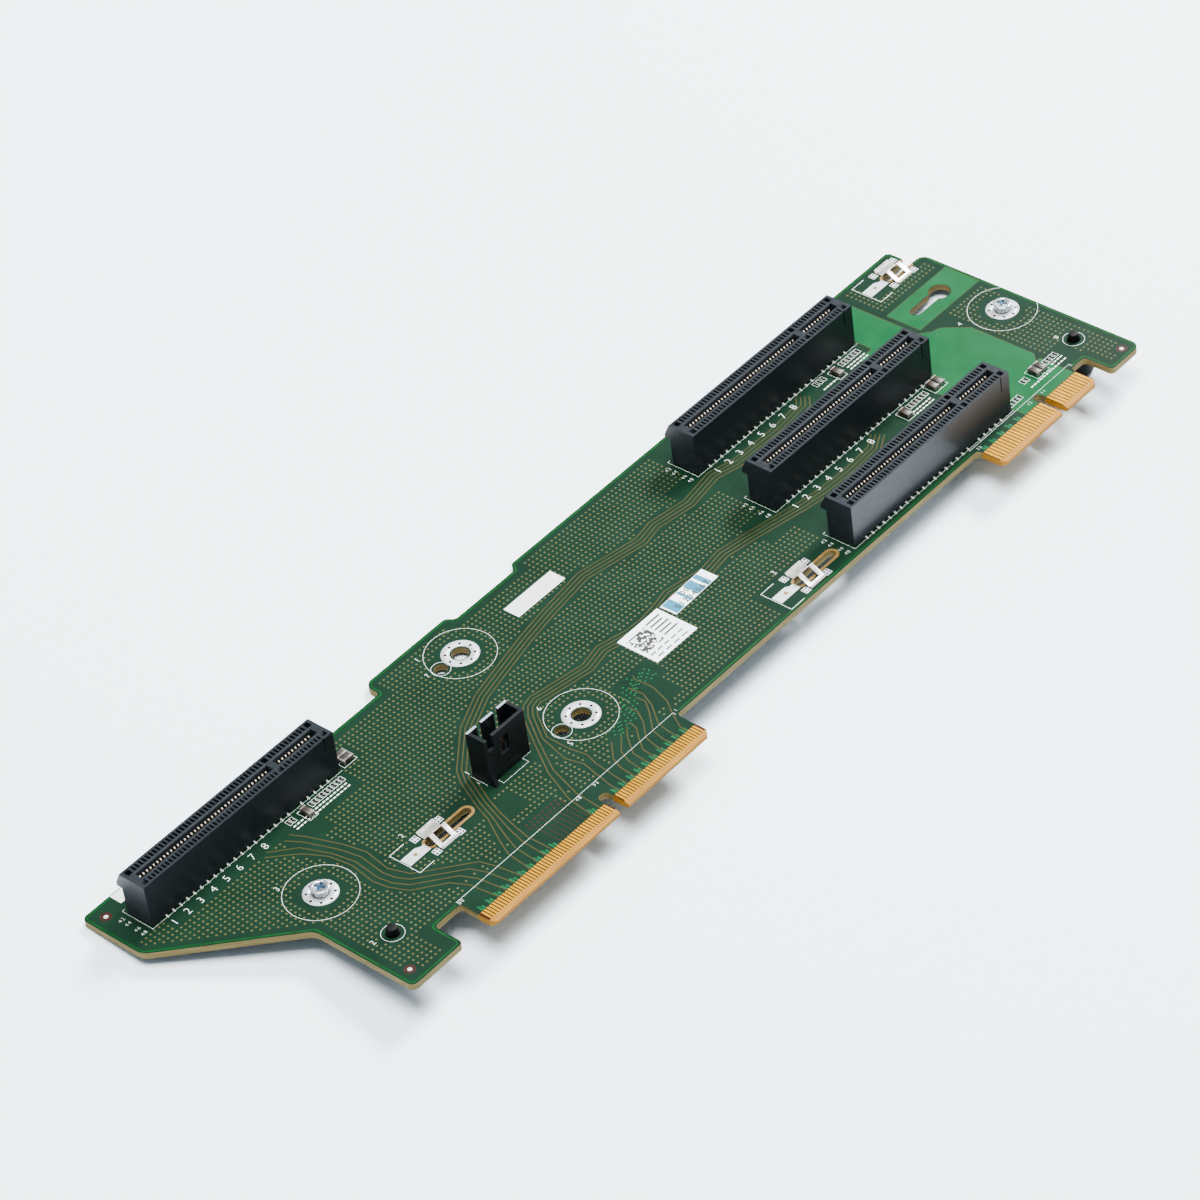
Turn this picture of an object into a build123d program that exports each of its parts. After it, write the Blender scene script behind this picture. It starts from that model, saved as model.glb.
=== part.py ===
from build123d import *

import os

# Server riser card: a circuit board that plugs into a system board with two edge connectors and
# carries four card slots, a power header, spring clips, shoulder screws and two rubber bumpers.
# Origin: centre of the plated mounting hole beside the power header, on the board's top face.
# +X runs along the board towards the auxiliary edge connector, +Y away from the edge connectors,
# and +Z out of the face that carries the slots. All sizes are millimetres.

# Circuit board
BOARD_THICKNESS = 1.6
LEFT_END_X = -104.45
LEFT_SIDE_X = -79.5
RIGHT_END_X = 164.8
SHOULDER_X = 161.0
NEAR_EDGE_Y = -16.8
WING_BOTTOM_Y = -24.6
TAB_BOTTOM_Y = -24.7
DIAGONAL_FOOT_Y = 2.5
FAR_MARGIN = 11.4
CORNER_RADIUS = 1.2

# Recesses in the far edge: from x, to x, and depth
STORAGE_RECESS = (-38.9, -19.3, 4.55)
MIDDLE_RECESS = (6.4, 28.2, 2.05)
RECESS_SLOPE = 1.4

# Cut-outs beside the edge connectors
LEFT_NOTCH_WIDTH = 7.7
RIGHT_NOTCH_WIDTH = 5.05

# Main edge connector: finger pitch and counts each side of its key notch
MAIN_KEY_X = -16.4
MAIN_PITCH = 0.8
MAIN_LEFT_COUNT = 48
MAIN_RIGHT_COUNT = 32
MAIN_KEY_TO_FINGER = 2.0
MAIN_FINGER_WIDTH = 0.5
MAIN_FINGER_LENGTH = 2.8
MAIN_KEY_WIDTH = 2.8
MAIN_KEY_DEPTH = 6.5
MAIN_TONGUE_LENGTH = 9.2
MAIN_SIDE_MARGIN = 0.85

# Auxiliary edge connector
AUX_KEY_X = 136.95
AUX_PITCH = 1.0
AUX_LEFT_COUNT = 21
AUX_RIGHT_COUNT = 11
AUX_KEY_TO_FINGER = 1.5
AUX_FINGER_WIDTH = 0.7
AUX_FINGER_LENGTH = 4.8
AUX_KEY_WIDTH = 2.0
AUX_KEY_DEPTH = 8.4
AUX_TONGUE_LENGTH = 7.5
AUX_SIDE_MARGIN = 0.65

# Bevel on the tip of both tongues, and the plating of the fingers
BEVEL_LENGTH = 1.2
BEVEL_DEPTH = 0.4
TIP_CHAMFER = 1.0
FINGER_THICKNESS = 0.05

# Card slots, all of one kind
SLOT_LEFT_X = 74.1
SLOT_3_Y = -10.9
SLOT_PITCH = 22.225
STORAGE_SLOT_X = -97.6
STORAGE_SLOT_Y = 34.6
CONTACT_PITCH = 1.0
LONG_COUNT = 38
SHORT_COUNT = 11
KEY_SPACING = 3.0
END_TO_CONTACT = 3.0
HOUSING_WIDTH = 7.2
HOUSING_HEIGHT = 11.0
STANDOFF = 0.35
FOOT_LENGTH = 2.2
FOOT_INSET = 0.8
SLOT_WIDTH = 1.8
SLOT_DEPTH = 8.4
LEAD_IN = 0.25
KEY_RIB_WIDTH = 1.7
SLOT_END_ROOM = 1.0
WINDOW_WIDTH = 0.55
WINDOW_INNER_Y = 1.55
WINDOW_OUTER_Y = 3.05
WINDOW_DEPTH = 3.2
END_WINDOW_WIDTH = 1.25
END_WINDOW_OFFSET = 1.5
SLIT_WIDTH = 0.35
SLIT_HEIGHT = 3.8
SLIT_DEPTH = 0.35
LEDGE_LENGTH = 12.0
LEDGE_REACH = 1.5
LEDGE_BOTTOM_Z = 7.1
LEDGE_LIP = 0.9

# Contact blades in the slots
CONTACT_WIDTH = 0.5
CONTACT_REACH = 0.42
CONTACT_TOP_GAP = 1.1
CONTACT_BUMP_GAP = 2.7
CONTACT_LENGTH = 6.2

# Power header
HEADER_X = -20.9
HEADER_NEAR_Y = 1.4
HEADER_WALL = 0.75
HEADER_DEPTH = 5.2
HEADER_HEIGHT = 12.0
HEADER_FLOOR = 3.0
PIN_PITCH = 2.54
PIN_COUNT = 4
PIN_WIDTH = 0.64
PIN_TIP_Z = 9.0
HEADER_END_MARGIN = 2.39
FAR_SLOT_WIDTH = 1.45
FAR_POST_WIDTH = 3.65
FAR_SLOT_FLOOR_Z = 4.0
NEAR_STEP_OFFSET = 0.9
NEAR_STEP_WIDTH = 1.7
NEAR_STEP_DEPTH = 3.4
LATCH_WINDOW_OFFSET = -1.9
LATCH_WINDOW_WIDTH = 2.6
LATCH_WINDOW_LOW_Z = 5.2
LATCH_WINDOW_TOP_Z = 9.6
GUSSET_WIDTH = 1.1
GUSSET_REACH = 1.7
GUSSET_HEIGHT = 3.4

# Spring clips over the routed slots: left end of the pads, and the slot's centre line
CLIP_PLACES = {
    "spring_clip_1": (151.85, 38.8),
    "spring_clip_2": (-48.35, 0.4),
    "spring_clip_3": (57.04, -11.65),
}
CLIP_THICKNESS = 0.25
CLIP_LEFT = 1.35
CLIP_LENGTH = 5.05
CLIP_NEAR_Y = 3.7
CLIP_NEAR_FOOT = 1.0
CLIP_FAR_Y = 3.9
CLIP_FAR_FOOT = 1.9
CLIP_WING_LENGTH = 0.5
CLIP_PEAK_Y = 0.3
CLIP_PEAK_Z = 1.9
CLIP_WINDOW_LENGTH = 2.6
CLIP_WINDOW_WIDTH = 2.6
CLIP_CREST_WIDTH = 0.2
CLIP_WING_HEIGHT = 0.8
ROUTED_START = 0.3
ROUTED_LENGTH = 13.3
ROUTED_WIDTH = 2.24

# Holes: x, y of each
BIG_HOLES = ((0.0, 0.0), (0.0, 34.5))
BIG_HOLE_RADIUS = 2.0
SMALL_HOLES = ((-6.2, 0.0), (-6.1, 34.6))
SMALL_HOLE_RADIUS = 1.57
SCREW_PLACES = ((-70.6, 9.2), (158.4, 9.4))
BUMPER_PLACES = {"rubber_bumper_left": (-70.7, -11.0), "rubber_bumper_right": (158.3, -10.85)}
KEYHOLE_X = 155.9
KEYHOLE_Y = 25.6
KEYHOLE_RADIUS = 2.6
KEYHOLE_SLOT_RADIUS = 1.4
KEYHOLE_REACH = 8.9

# Shoulder screws and their nuts
SHANK_RADIUS = 1.65
SHANK_CLEARANCE = 0.1
NECK_HEIGHT = 1.1
HEAD_RADIUS = 2.1
HEAD_HEIGHT = 0.75
NUT_ACROSS_FLATS = 5.5
NUT_HEIGHT = 2.2
THREAD_CLEARANCE = 0.05
SHANK_BEYOND_NUT = 0.5

# Rubber bumpers
BUMPER_RADIUS = 4.3
BUMPER_HEIGHT = 6.5
STEM_RADIUS = 1.5
STEM_CLEARANCE = 0.1
STEM_TIP_Z = 1.8

# Labels: centre x, y, length, width and turn in degrees
SQUARE_LABEL = (28.05, 2.75, 13.2, 11.4, 0.0)
STRIP_LABEL = (42.75, 6.2, 14.6, 4.6, 2.0)
LABEL_THICKNESS = 0.1

# Chip capacitors: length, width and height, then x, y and turn in degrees of each
CHIP_LENGTH = 3.0
CHIP_WIDTH = 1.6
CHIP_HEIGHT = 1.2
CAPACITOR_PLACES = {
    "storage_slot_capacitors": ((-38.6, 33.7, 0), (-38.6, 31.9, 0), (-55.1, 27.6, 90)),
    "slot_1_capacitors": ((119.2, 26.4, 90),),
    "slot_2_capacitors": ((116.0, 4.3, 90), (127.0, 5.3, 90), (129.0, 5.3, 90)),
    "aux_capacitors": ((143.6, -10.9, 90), (145.6, -10.9, 90)),
}

# What follows from the values above
SLOT_1_Y = SLOT_3_Y + 2 * SLOT_PITCH
FAR_EDGE_Y = SLOT_1_Y + FAR_MARGIN
SHORT_START = END_TO_CONTACT + (LONG_COUNT - 1) * CONTACT_PITCH + KEY_SPACING
HOUSING_LENGTH = SHORT_START + (SHORT_COUNT - 1) * CONTACT_PITCH + END_TO_CONTACT
KEY_CENTRE = SHORT_START - KEY_SPACING / 2
MAIN_TIP_Y = NEAR_EDGE_Y - MAIN_TONGUE_LENGTH
AUX_TIP_Y = NEAR_EDGE_Y - AUX_TONGUE_LENGTH
PIN_SPAN = (PIN_COUNT - 1) * PIN_PITCH
HEADER_LENGTH = PIN_SPAN + 2 * HEADER_END_MARGIN
SLOT_PLACES = {
    "storage_slot": (STORAGE_SLOT_X, STORAGE_SLOT_Y),
    "slot_1": (SLOT_LEFT_X, SLOT_1_Y),
    "slot_2": (SLOT_LEFT_X, SLOT_3_Y + SLOT_PITCH),
    "slot_3": (SLOT_LEFT_X, SLOT_3_Y),
}


def block(x0, x1, y0, y1, z0, z1):
    """Box between two opposite corners."""
    return Pos((x0 + x1) / 2, (y0 + y1) / 2, (z0 + z1) / 2) * Box(x1 - x0, y1 - y0, z1 - z0)


def bar_along_x(points, x0, x1):
    """Solid whose section is a list of (y, z) points and which runs from x0 to x1."""
    section = Plane.YZ.offset(x0) * Polygon(*points, align=None)
    return extrude(section, amount=x1 - x0, dir=(1, 0, 0))


def turned(points):
    """Solid of revolution about Z from (radius, z) points."""
    return revolve(Plane.XZ * Polygon(*points, align=None), Axis.Z)


def finger_rows(key_x, to_finger, pitch, left_count, right_count):
    """X of each finger of an edge connector, both sides of its key."""
    left = [key_x - to_finger - pitch * i for i in range(left_count)]
    right = [key_x + to_finger + pitch * i for i in range(right_count)]
    return left + right


def tongue_span(key_x, to_finger, pitch, left_count, right_count, margin):
    """Left and right side of a tongue, a margin beyond its last fingers."""
    xs = finger_rows(key_x, to_finger, pitch, left_count, right_count)
    return min(xs) - margin, max(xs) + margin


MAIN_ROW = (MAIN_KEY_X, MAIN_KEY_TO_FINGER, MAIN_PITCH, MAIN_LEFT_COUNT, MAIN_RIGHT_COUNT)
AUX_ROW = (AUX_KEY_X, AUX_KEY_TO_FINGER, AUX_PITCH, AUX_LEFT_COUNT, AUX_RIGHT_COUNT)
MAIN_LEFT, MAIN_RIGHT = tongue_span(*MAIN_ROW, MAIN_SIDE_MARGIN)
AUX_LEFT, AUX_RIGHT = tongue_span(*AUX_ROW, AUX_SIDE_MARGIN)


def board_outline():
    """Closed outline of the board, counter-clockwise from the left wing's lower corner.

    Each corner is x, y and its radius. Those of the recess between the tongues and the far right
    one are rounded, and the rest are plain.
    """
    clip_y = CLIP_PLACES["spring_clip_1"][1]
    lower_shoulder = clip_y - ROUTED_WIDTH / 2
    diagonal_top = DIAGONAL_FOOT_Y + LEFT_SIDE_X - LEFT_END_X
    wing_right = MAIN_LEFT - LEFT_NOTCH_WIDTH
    tab_left = AUX_RIGHT + RIGHT_NOTCH_WIDTH
    s_left, s_right, s_depth = STORAGE_RECESS
    m_left, m_right, m_depth = MIDDLE_RECESS
    r = CORNER_RADIUS
    corners = [
        (LEFT_SIDE_X, WING_BOTTOM_Y, 0),
        (wing_right, WING_BOTTOM_Y, 0),
        (wing_right, NEAR_EDGE_Y, 0),
        (MAIN_LEFT, NEAR_EDGE_Y, 0),
        (MAIN_LEFT, MAIN_TIP_Y + TIP_CHAMFER, 0),
        (MAIN_LEFT + TIP_CHAMFER, MAIN_TIP_Y, 0),
        (MAIN_RIGHT - TIP_CHAMFER, MAIN_TIP_Y, 0),
        (MAIN_RIGHT, MAIN_TIP_Y + TIP_CHAMFER, 0),
        (MAIN_RIGHT, NEAR_EDGE_Y, r),
        (AUX_LEFT, NEAR_EDGE_Y, r),
        (AUX_LEFT, AUX_TIP_Y + TIP_CHAMFER, 0),
        (AUX_LEFT + TIP_CHAMFER, AUX_TIP_Y, 0),
        (AUX_RIGHT - TIP_CHAMFER, AUX_TIP_Y, 0),
        (AUX_RIGHT, AUX_TIP_Y + TIP_CHAMFER, 0),
        (AUX_RIGHT, NEAR_EDGE_Y, 0),
        (tab_left, NEAR_EDGE_Y, 0),
        (tab_left, TAB_BOTTOM_Y, 0),
        (RIGHT_END_X, TAB_BOTTOM_Y, 0),
        (RIGHT_END_X, lower_shoulder, 0),
        (SHOULDER_X, lower_shoulder, 0),
        (SHOULDER_X, FAR_EDGE_Y, r),
        (m_right, FAR_EDGE_Y, 0),
        (m_right - RECESS_SLOPE, FAR_EDGE_Y - m_depth, 0),
        (m_left + RECESS_SLOPE, FAR_EDGE_Y - m_depth, 0),
        (m_left, FAR_EDGE_Y, 0),
        (s_right + RECESS_SLOPE, FAR_EDGE_Y, 0),
        (s_right, FAR_EDGE_Y - RECESS_SLOPE, 0),
        (s_right, FAR_EDGE_Y - s_depth, 0),
        (s_left, FAR_EDGE_Y - s_depth, 0),
        (s_left, FAR_EDGE_Y, 0),
        (LEFT_END_X, FAR_EDGE_Y, 0),
        (LEFT_END_X, diagonal_top, 0),
        (LEFT_SIDE_X, DIAGONAL_FOOT_Y, 0),
    ]
    points = [(x, y) for x, y, radius in corners]
    radii = [radius for x, y, radius in corners]
    return make_face(FilletPolyline(*points, radius=radii, close=True))


def key_notch(key_x, width, depth, tip_y):
    """Round-ended notch up from a tongue's tip."""
    reach = depth + width
    return Pos(key_x, tip_y + depth - reach / 2) * SlotOverall(reach, width, rotation=90)


def keyhole():
    """Large round opening with a narrow slot towards the board's middle."""
    length = KEYHOLE_REACH + KEYHOLE_SLOT_RADIUS
    middle = KEYHOLE_X - length / 2
    slot = Pos(middle, KEYHOLE_Y) * SlotOverall(length, 2 * KEYHOLE_SLOT_RADIUS)
    return Pos(KEYHOLE_X, KEYHOLE_Y) * Circle(KEYHOLE_RADIUS) + slot


def routed_slot(pad_x, centre_y):
    """Opening routed through the board below a spring clip."""
    middle = pad_x + ROUTED_START + ROUTED_LENGTH / 2
    return Pos(middle, centre_y) * SlotOverall(ROUTED_LENGTH, ROUTED_WIDTH)


def tip_bevels(left, right, tip_y):
    """Wedges that bevel both faces of a tongue's tip."""
    start = tip_y + BEVEL_LENGTH
    upper = [(start, 0), (tip_y, -BEVEL_DEPTH), (tip_y, 0)]
    lower = [(y, -BOARD_THICKNESS - z) for y, z in reversed(upper)]
    return bar_along_x(upper, left, right) + bar_along_x(lower, left, right)


def circuit_board():
    """Board with its tongues, notches, recesses, holes and routed slots."""
    profile = board_outline()
    profile -= key_notch(MAIN_KEY_X, MAIN_KEY_WIDTH, MAIN_KEY_DEPTH, MAIN_TIP_Y)
    profile -= key_notch(AUX_KEY_X, AUX_KEY_WIDTH, AUX_KEY_DEPTH, AUX_TIP_Y)
    profile -= keyhole()
    for place in CLIP_PLACES.values():
        profile -= routed_slot(*place)
    rounds = [(x, y, BIG_HOLE_RADIUS) for x, y in BIG_HOLES]
    rounds += [(x, y, SMALL_HOLE_RADIUS) for x, y in SMALL_HOLES]
    rounds += [(x, y, SHANK_RADIUS + SHANK_CLEARANCE) for x, y in SCREW_PLACES]
    rounds += [(x, y, STEM_RADIUS + STEM_CLEARANCE) for x, y in BUMPER_PLACES.values()]
    for x, y, radius in rounds:
        profile -= Pos(x, y) * Circle(radius)
    board = extrude(profile, amount=-BOARD_THICKNESS)
    board -= tip_bevels(MAIN_LEFT, MAIN_RIGHT, MAIN_TIP_Y)
    board -= tip_bevels(AUX_LEFT, AUX_RIGHT, AUX_TIP_Y)
    return board


def edge_fingers(row, width, length, tip_y):
    """Plated fingers on the top face of an edge connector, clear of its bevel."""
    low = tip_y + BEVEL_LENGTH
    fingers = []
    for x in finger_rows(*row):
        fingers.append(block(x - width / 2, x + width / 2, low, low + length, 0, FINGER_THICKNESS))
    return Compound(children=fingers)


def slot_housing():
    """Moulded housing of one card slot, its left end at x = 0 and its centre line at y = 0."""
    half = HOUSING_WIDTH / 2
    top = HOUSING_HEIGHT
    body = block(0, HOUSING_LENGTH, -half, half, STANDOFF, top)
    foot_starts = (FOOT_INSET, KEY_CENTRE - FOOT_LENGTH / 2, HOUSING_LENGTH - FOOT_INSET - FOOT_LENGTH)
    for x in foot_starts:
        body += block(x, x + FOOT_LENGTH, -half, half, 0, STANDOFF)
    ledge = [
        (half, LEDGE_BOTTOM_Z),
        (half + LEDGE_REACH, LEDGE_BOTTOM_Z),
        (half + LEDGE_REACH, LEDGE_BOTTOM_Z + LEDGE_LIP),
        (half, top),
    ]
    body += bar_along_x(ledge, 0, LEDGE_LENGTH)
    for start, end in slot_spans():
        body -= card_cavity(start, end)
    windows = [window for x in contact_places() for window in window_pair(x, WINDOW_WIDTH)]
    for x in (END_WINDOW_OFFSET, KEY_CENTRE, HOUSING_LENGTH - END_WINDOW_OFFSET):
        windows += window_pair(x, END_WINDOW_WIDTH)
    body -= windows
    slit_x = SHORT_START + (SHORT_COUNT - 1) * CONTACT_PITCH
    body -= block(slit_x, slit_x + SLIT_WIDTH, -half, SLIT_DEPTH - half, top - SLIT_HEIGHT, top)
    return body


def slot_spans():
    """Start and end, along the housing, of the long and the short part of the card slot."""
    long_start = END_TO_CONTACT - SLOT_END_ROOM
    short_end = SHORT_START + (SHORT_COUNT - 1) * CONTACT_PITCH + SLOT_END_ROOM
    half_rib = KEY_RIB_WIDTH / 2
    return (long_start, KEY_CENTRE - half_rib), (KEY_CENTRE + half_rib, short_end)


def contact_places():
    """Distance of each contact from the housing's left end."""
    long_row = [END_TO_CONTACT + CONTACT_PITCH * i for i in range(LONG_COUNT)]
    short_row = [SHORT_START + CONTACT_PITCH * i for i in range(SHORT_COUNT)]
    return long_row + short_row


def card_cavity(start, end):
    """Space for the card's edge, with a lead-in along both long sides."""
    half = SLOT_WIDTH / 2
    top = HOUSING_HEIGHT
    section = [
        (-half, top - SLOT_DEPTH),
        (half, top - SLOT_DEPTH),
        (half, top - LEAD_IN),
        (half + LEAD_IN, top),
        (-half - LEAD_IN, top),
        (-half, top - LEAD_IN),
    ]
    return bar_along_x(section, start, end)


def window_pair(x, width):
    """Two pockets in the top face, one each side of the card slot, that narrow downwards."""
    top = HOUSING_HEIGHT
    far = [(WINDOW_INNER_Y, top), (WINDOW_OUTER_Y, top - WINDOW_DEPTH), (WINDOW_OUTER_Y, top)]
    near = [(-y, z) for y, z in reversed(far)]
    start, end = x - width / 2, x + width / 2
    return [bar_along_x(far, start, end), bar_along_x(near, start, end)]


def slot_contacts():
    """Contact blades of one slot: each bulges from the slot's wall towards the card."""
    wall = SLOT_WIDTH / 2
    tip = HOUSING_HEIGHT - CONTACT_TOP_GAP
    bump = (wall - CONTACT_REACH, HOUSING_HEIGHT - CONTACT_BUMP_GAP)
    far = [(wall, tip), bump, (wall, tip - CONTACT_LENGTH)]
    near = [(-y, z) for y, z in reversed(far)]
    blades = []
    for x in contact_places():
        start, end = x - CONTACT_WIDTH / 2, x + CONTACT_WIDTH / 2
        blades.append(bar_along_x(far, start, end))
        blades.append(bar_along_x(near, start, end))
    return Compound(children=blades)


def header_housing():
    """Open shroud of the power header, with a castellated far wall and a latch window."""
    left = HEADER_X - HEADER_LENGTH / 2
    right = HEADER_X + HEADER_LENGTH / 2
    near = HEADER_NEAR_Y
    far = near + HEADER_DEPTH
    wall = HEADER_WALL
    body = block(left, right, near, far, 0, HEADER_HEIGHT)
    body -= block(left + wall, right - wall, near + wall, far - wall, HEADER_FLOOR, HEADER_HEIGHT)
    for side in (-1, 1):
        inner = HEADER_X + side * FAR_POST_WIDTH / 2
        x0, x1 = sorted((inner, inner + side * FAR_SLOT_WIDTH))
        body -= block(x0, x1, far - wall, far, FAR_SLOT_FLOOR_Z, HEADER_HEIGHT)
    body -= near_wall_openings(left, near)
    gusset = [(near, 0), (near - GUSSET_REACH, 0), (near, GUSSET_HEIGHT)]
    body += bar_along_x(gusset, left, left + GUSSET_WIDTH)
    for x in pin_places():
        body -= block(x - PIN_WIDTH / 2, x + PIN_WIDTH / 2, *pin_sides(), 0, HEADER_FLOOR)
    return body


def near_wall_openings(left, near):
    """Openings of the near wall: a step at its left end and the mating plug's latch window."""
    inner = near + HEADER_WALL
    step_x = left + NEAR_STEP_OFFSET
    step_z = HEADER_HEIGHT - NEAR_STEP_DEPTH
    window_x = HEADER_X + LATCH_WINDOW_OFFSET
    window_end = window_x + LATCH_WINDOW_WIDTH
    step = block(step_x, step_x + NEAR_STEP_WIDTH, near, inner, step_z, HEADER_HEIGHT)
    return step + block(window_x, window_end, near, inner, LATCH_WINDOW_LOW_Z, LATCH_WINDOW_TOP_Z)


def pin_places():
    """X of each header pin."""
    return [HEADER_X - PIN_SPAN / 2 + PIN_PITCH * i for i in range(PIN_COUNT)]


def pin_sides():
    """Near and far side of the header pins."""
    middle = HEADER_NEAR_Y + HEADER_DEPTH / 2
    return middle - PIN_WIDTH / 2, middle + PIN_WIDTH / 2


def header_pins():
    """Square pins of the power header, standing on the board."""
    half = PIN_WIDTH / 2
    return Compound(children=[block(x - half, x + half, *pin_sides(), 0, PIN_TIP_Z) for x in pin_places()])


def spring_clip(pad_x, centre_y):
    """Folded clip: two feet on the board and a windowed bridge over the routed slot."""
    t = CLIP_THICKNESS
    wing_start = CLIP_FAR_Y - CLIP_WING_LENGTH
    path = [
        (-CLIP_NEAR_Y, 0),
        (-CLIP_NEAR_Y + CLIP_NEAR_FOOT, 0),
        (CLIP_PEAK_Y, CLIP_PEAK_Z - t),
        (wing_start - CLIP_FAR_FOOT, 0),
        (wing_start, 0),
        (CLIP_FAR_Y, CLIP_WING_HEIGHT - t),
    ]
    section = path + [(y, z + t) for y, z in reversed(path)]
    section = [(centre_y + y, z) for y, z in section]
    left = pad_x + CLIP_LEFT
    clip = bar_along_x(section, left, left + CLIP_LENGTH)
    start = left + (CLIP_LENGTH - CLIP_WINDOW_LENGTH) / 2
    window_far = centre_y + CLIP_PEAK_Y - CLIP_CREST_WIDTH
    window_near = window_far - CLIP_WINDOW_WIDTH
    return clip - block(start, start + CLIP_WINDOW_LENGTH, window_near, window_far, 0, CLIP_PEAK_Z)


def shoulder_screw():
    """Screw whose plain neck, between board and head, a keyhole bracket slides onto."""
    head_z = NECK_HEIGHT + HEAD_HEIGHT
    end_z = -BOARD_THICKNESS - NUT_HEIGHT - SHANK_BEYOND_NUT
    return turned([
        (0, end_z),
        (SHANK_RADIUS, end_z),
        (SHANK_RADIUS, NECK_HEIGHT),
        (HEAD_RADIUS, NECK_HEIGHT),
        (HEAD_RADIUS, head_z),
        (0, head_z),
    ])


def screw_nut():
    """Hexagon nut under the board on a shoulder screw."""
    blank = RegularPolygon(NUT_ACROSS_FLATS / 2, 6, major_radius=False)
    ring = blank - Circle(SHANK_RADIUS + THREAD_CLEARANCE)
    return Pos(0, 0, -BOARD_THICKNESS) * extrude(ring, amount=-NUT_HEIGHT)


def rubber_bumper():
    """Foot below the board, with a stem through it that ends in a short peg above."""
    base = -BOARD_THICKNESS
    low = base - BUMPER_HEIGHT
    return turned([
        (0, low),
        (BUMPER_RADIUS, low),
        (BUMPER_RADIUS, base),
        (STEM_RADIUS, base),
        (STEM_RADIUS, STEM_TIP_Z),
        (0, STEM_TIP_Z),
    ])


def label(x, y, length, width, turn):
    """Thin adhesive label on the board."""
    return Pos(x, y, LABEL_THICKNESS / 2) * Rot(0, 0, turn) * Box(length, width, LABEL_THICKNESS)


def chip_capacitor(x, y, turn):
    """Ceramic chip soldered flat on the board."""
    return Pos(x, y, CHIP_HEIGHT / 2) * Rot(0, 0, turn) * Box(CHIP_LENGTH, CHIP_WIDTH, CHIP_HEIGHT)


def build_nodes():
    """Every node of the riser card, by name."""
    nodes = {"circuit_board": circuit_board()}
    nodes["main_edge_fingers"] = edge_fingers(MAIN_ROW, MAIN_FINGER_WIDTH, MAIN_FINGER_LENGTH, MAIN_TIP_Y)
    nodes["aux_edge_fingers"] = edge_fingers(AUX_ROW, AUX_FINGER_WIDTH, AUX_FINGER_LENGTH, AUX_TIP_Y)
    housing = slot_housing()
    contacts = slot_contacts()
    for name, (x, y) in SLOT_PLACES.items():
        nodes[name + "_housing"] = Pos(x, y, 0) * housing
        nodes[name + "_contacts"] = Pos(x, y, 0) * contacts
    nodes["power_header_housing"] = header_housing()
    nodes["power_header_pins"] = header_pins()
    for name, (x, y) in CLIP_PLACES.items():
        nodes[name] = spring_clip(x, y)
    for name, fastener in (("shoulder_screws", shoulder_screw()), ("screw_nuts", screw_nut())):
        nodes[name] = Compound(children=[Pos(x, y, 0) * fastener for x, y in SCREW_PLACES])
    for name, (x, y) in BUMPER_PLACES.items():
        nodes[name] = Pos(x, y, 0) * rubber_bumper()
    nodes["square_label"] = label(*SQUARE_LABEL)
    nodes["strip_label"] = label(*STRIP_LABEL)
    for name, places in CAPACITOR_PLACES.items():
        nodes[name] = Compound(children=[chip_capacitor(*place) for place in places])
    return nodes


os.makedirs("parts", exist_ok=True)
for node_name, shape in build_nodes().items():
    export_step(shape, "parts/" + node_name + ".step")
    print(node_name, round(shape.volume, 2), "mm3")
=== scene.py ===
"""Looks of a server riser card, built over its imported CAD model.

The board's own frame is kept: X runs along the board, Y away from the edge connectors, and Z out of
the face that carries the card slots. Sizes are millimetres, and MM turns them into Blender's metres.
"""

import logging
import math
from collections.abc import Callable, Iterable, Sequence
from dataclasses import dataclass
from enum import Enum
from typing import ClassVar

import bmesh
import bpy
from mathutils import Matrix, Vector


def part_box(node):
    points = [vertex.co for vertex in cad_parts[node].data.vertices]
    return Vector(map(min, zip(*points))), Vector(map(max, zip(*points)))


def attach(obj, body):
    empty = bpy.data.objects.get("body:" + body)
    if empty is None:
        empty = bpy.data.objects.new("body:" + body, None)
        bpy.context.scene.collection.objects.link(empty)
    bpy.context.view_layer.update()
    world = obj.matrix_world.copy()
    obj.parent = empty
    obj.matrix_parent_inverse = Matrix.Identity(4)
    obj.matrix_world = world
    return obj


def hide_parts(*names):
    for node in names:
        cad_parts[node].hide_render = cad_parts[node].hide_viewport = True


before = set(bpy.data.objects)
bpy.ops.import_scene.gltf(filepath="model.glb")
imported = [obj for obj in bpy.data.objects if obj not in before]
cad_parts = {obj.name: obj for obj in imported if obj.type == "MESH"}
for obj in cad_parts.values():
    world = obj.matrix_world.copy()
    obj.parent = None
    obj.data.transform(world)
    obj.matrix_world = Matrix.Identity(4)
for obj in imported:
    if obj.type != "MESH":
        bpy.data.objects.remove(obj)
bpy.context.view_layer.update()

LOG = logging.getLogger("riser_card")
Point = tuple[float, float]
Triple = tuple[float, float, float]
Place = Triple
Color = Triple
Mark = tuple[str, float, float, float]
Piece = bpy.types.Object
Socket = bpy.types.NodeSocket

MM = 0.001
BOARD_THICKNESS = 1.6
CONTACT_PITCH = 1.0
WHITE_LINE = 0.08

# How a screen bends brightness between black and white.
SCREEN_GAMMA = 2.2
# Noise stays mostly between these two values.
NOISE_LOW = 0.3
NOISE_HIGH = 0.7
# Strength of mirrored light: the usual one, that of dull plastics, and that of solder mask.
PLAIN_SPECULAR = 0.5
DULL_SPECULAR = 0.2
MASK_SPECULAR = 0.14
# Edges that turn by more than this many degrees are sharp, and get rounded.
SHARP_ANGLE = 35.0
# On parts with flat sides, only faces that meet at less than this many degrees are shaded as one.
FLAT_SHADE_ANGLE = 10.0
# A face looks up or down when its normal's Z is past this, up or down.
UPRIGHT = 0.9
# Corners of a CAD node nearer than this become one, as do faces that meet at less than this many degrees.
MERGE_WITHIN = 0.002
LEVEL_WITHIN = 1.0
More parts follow.
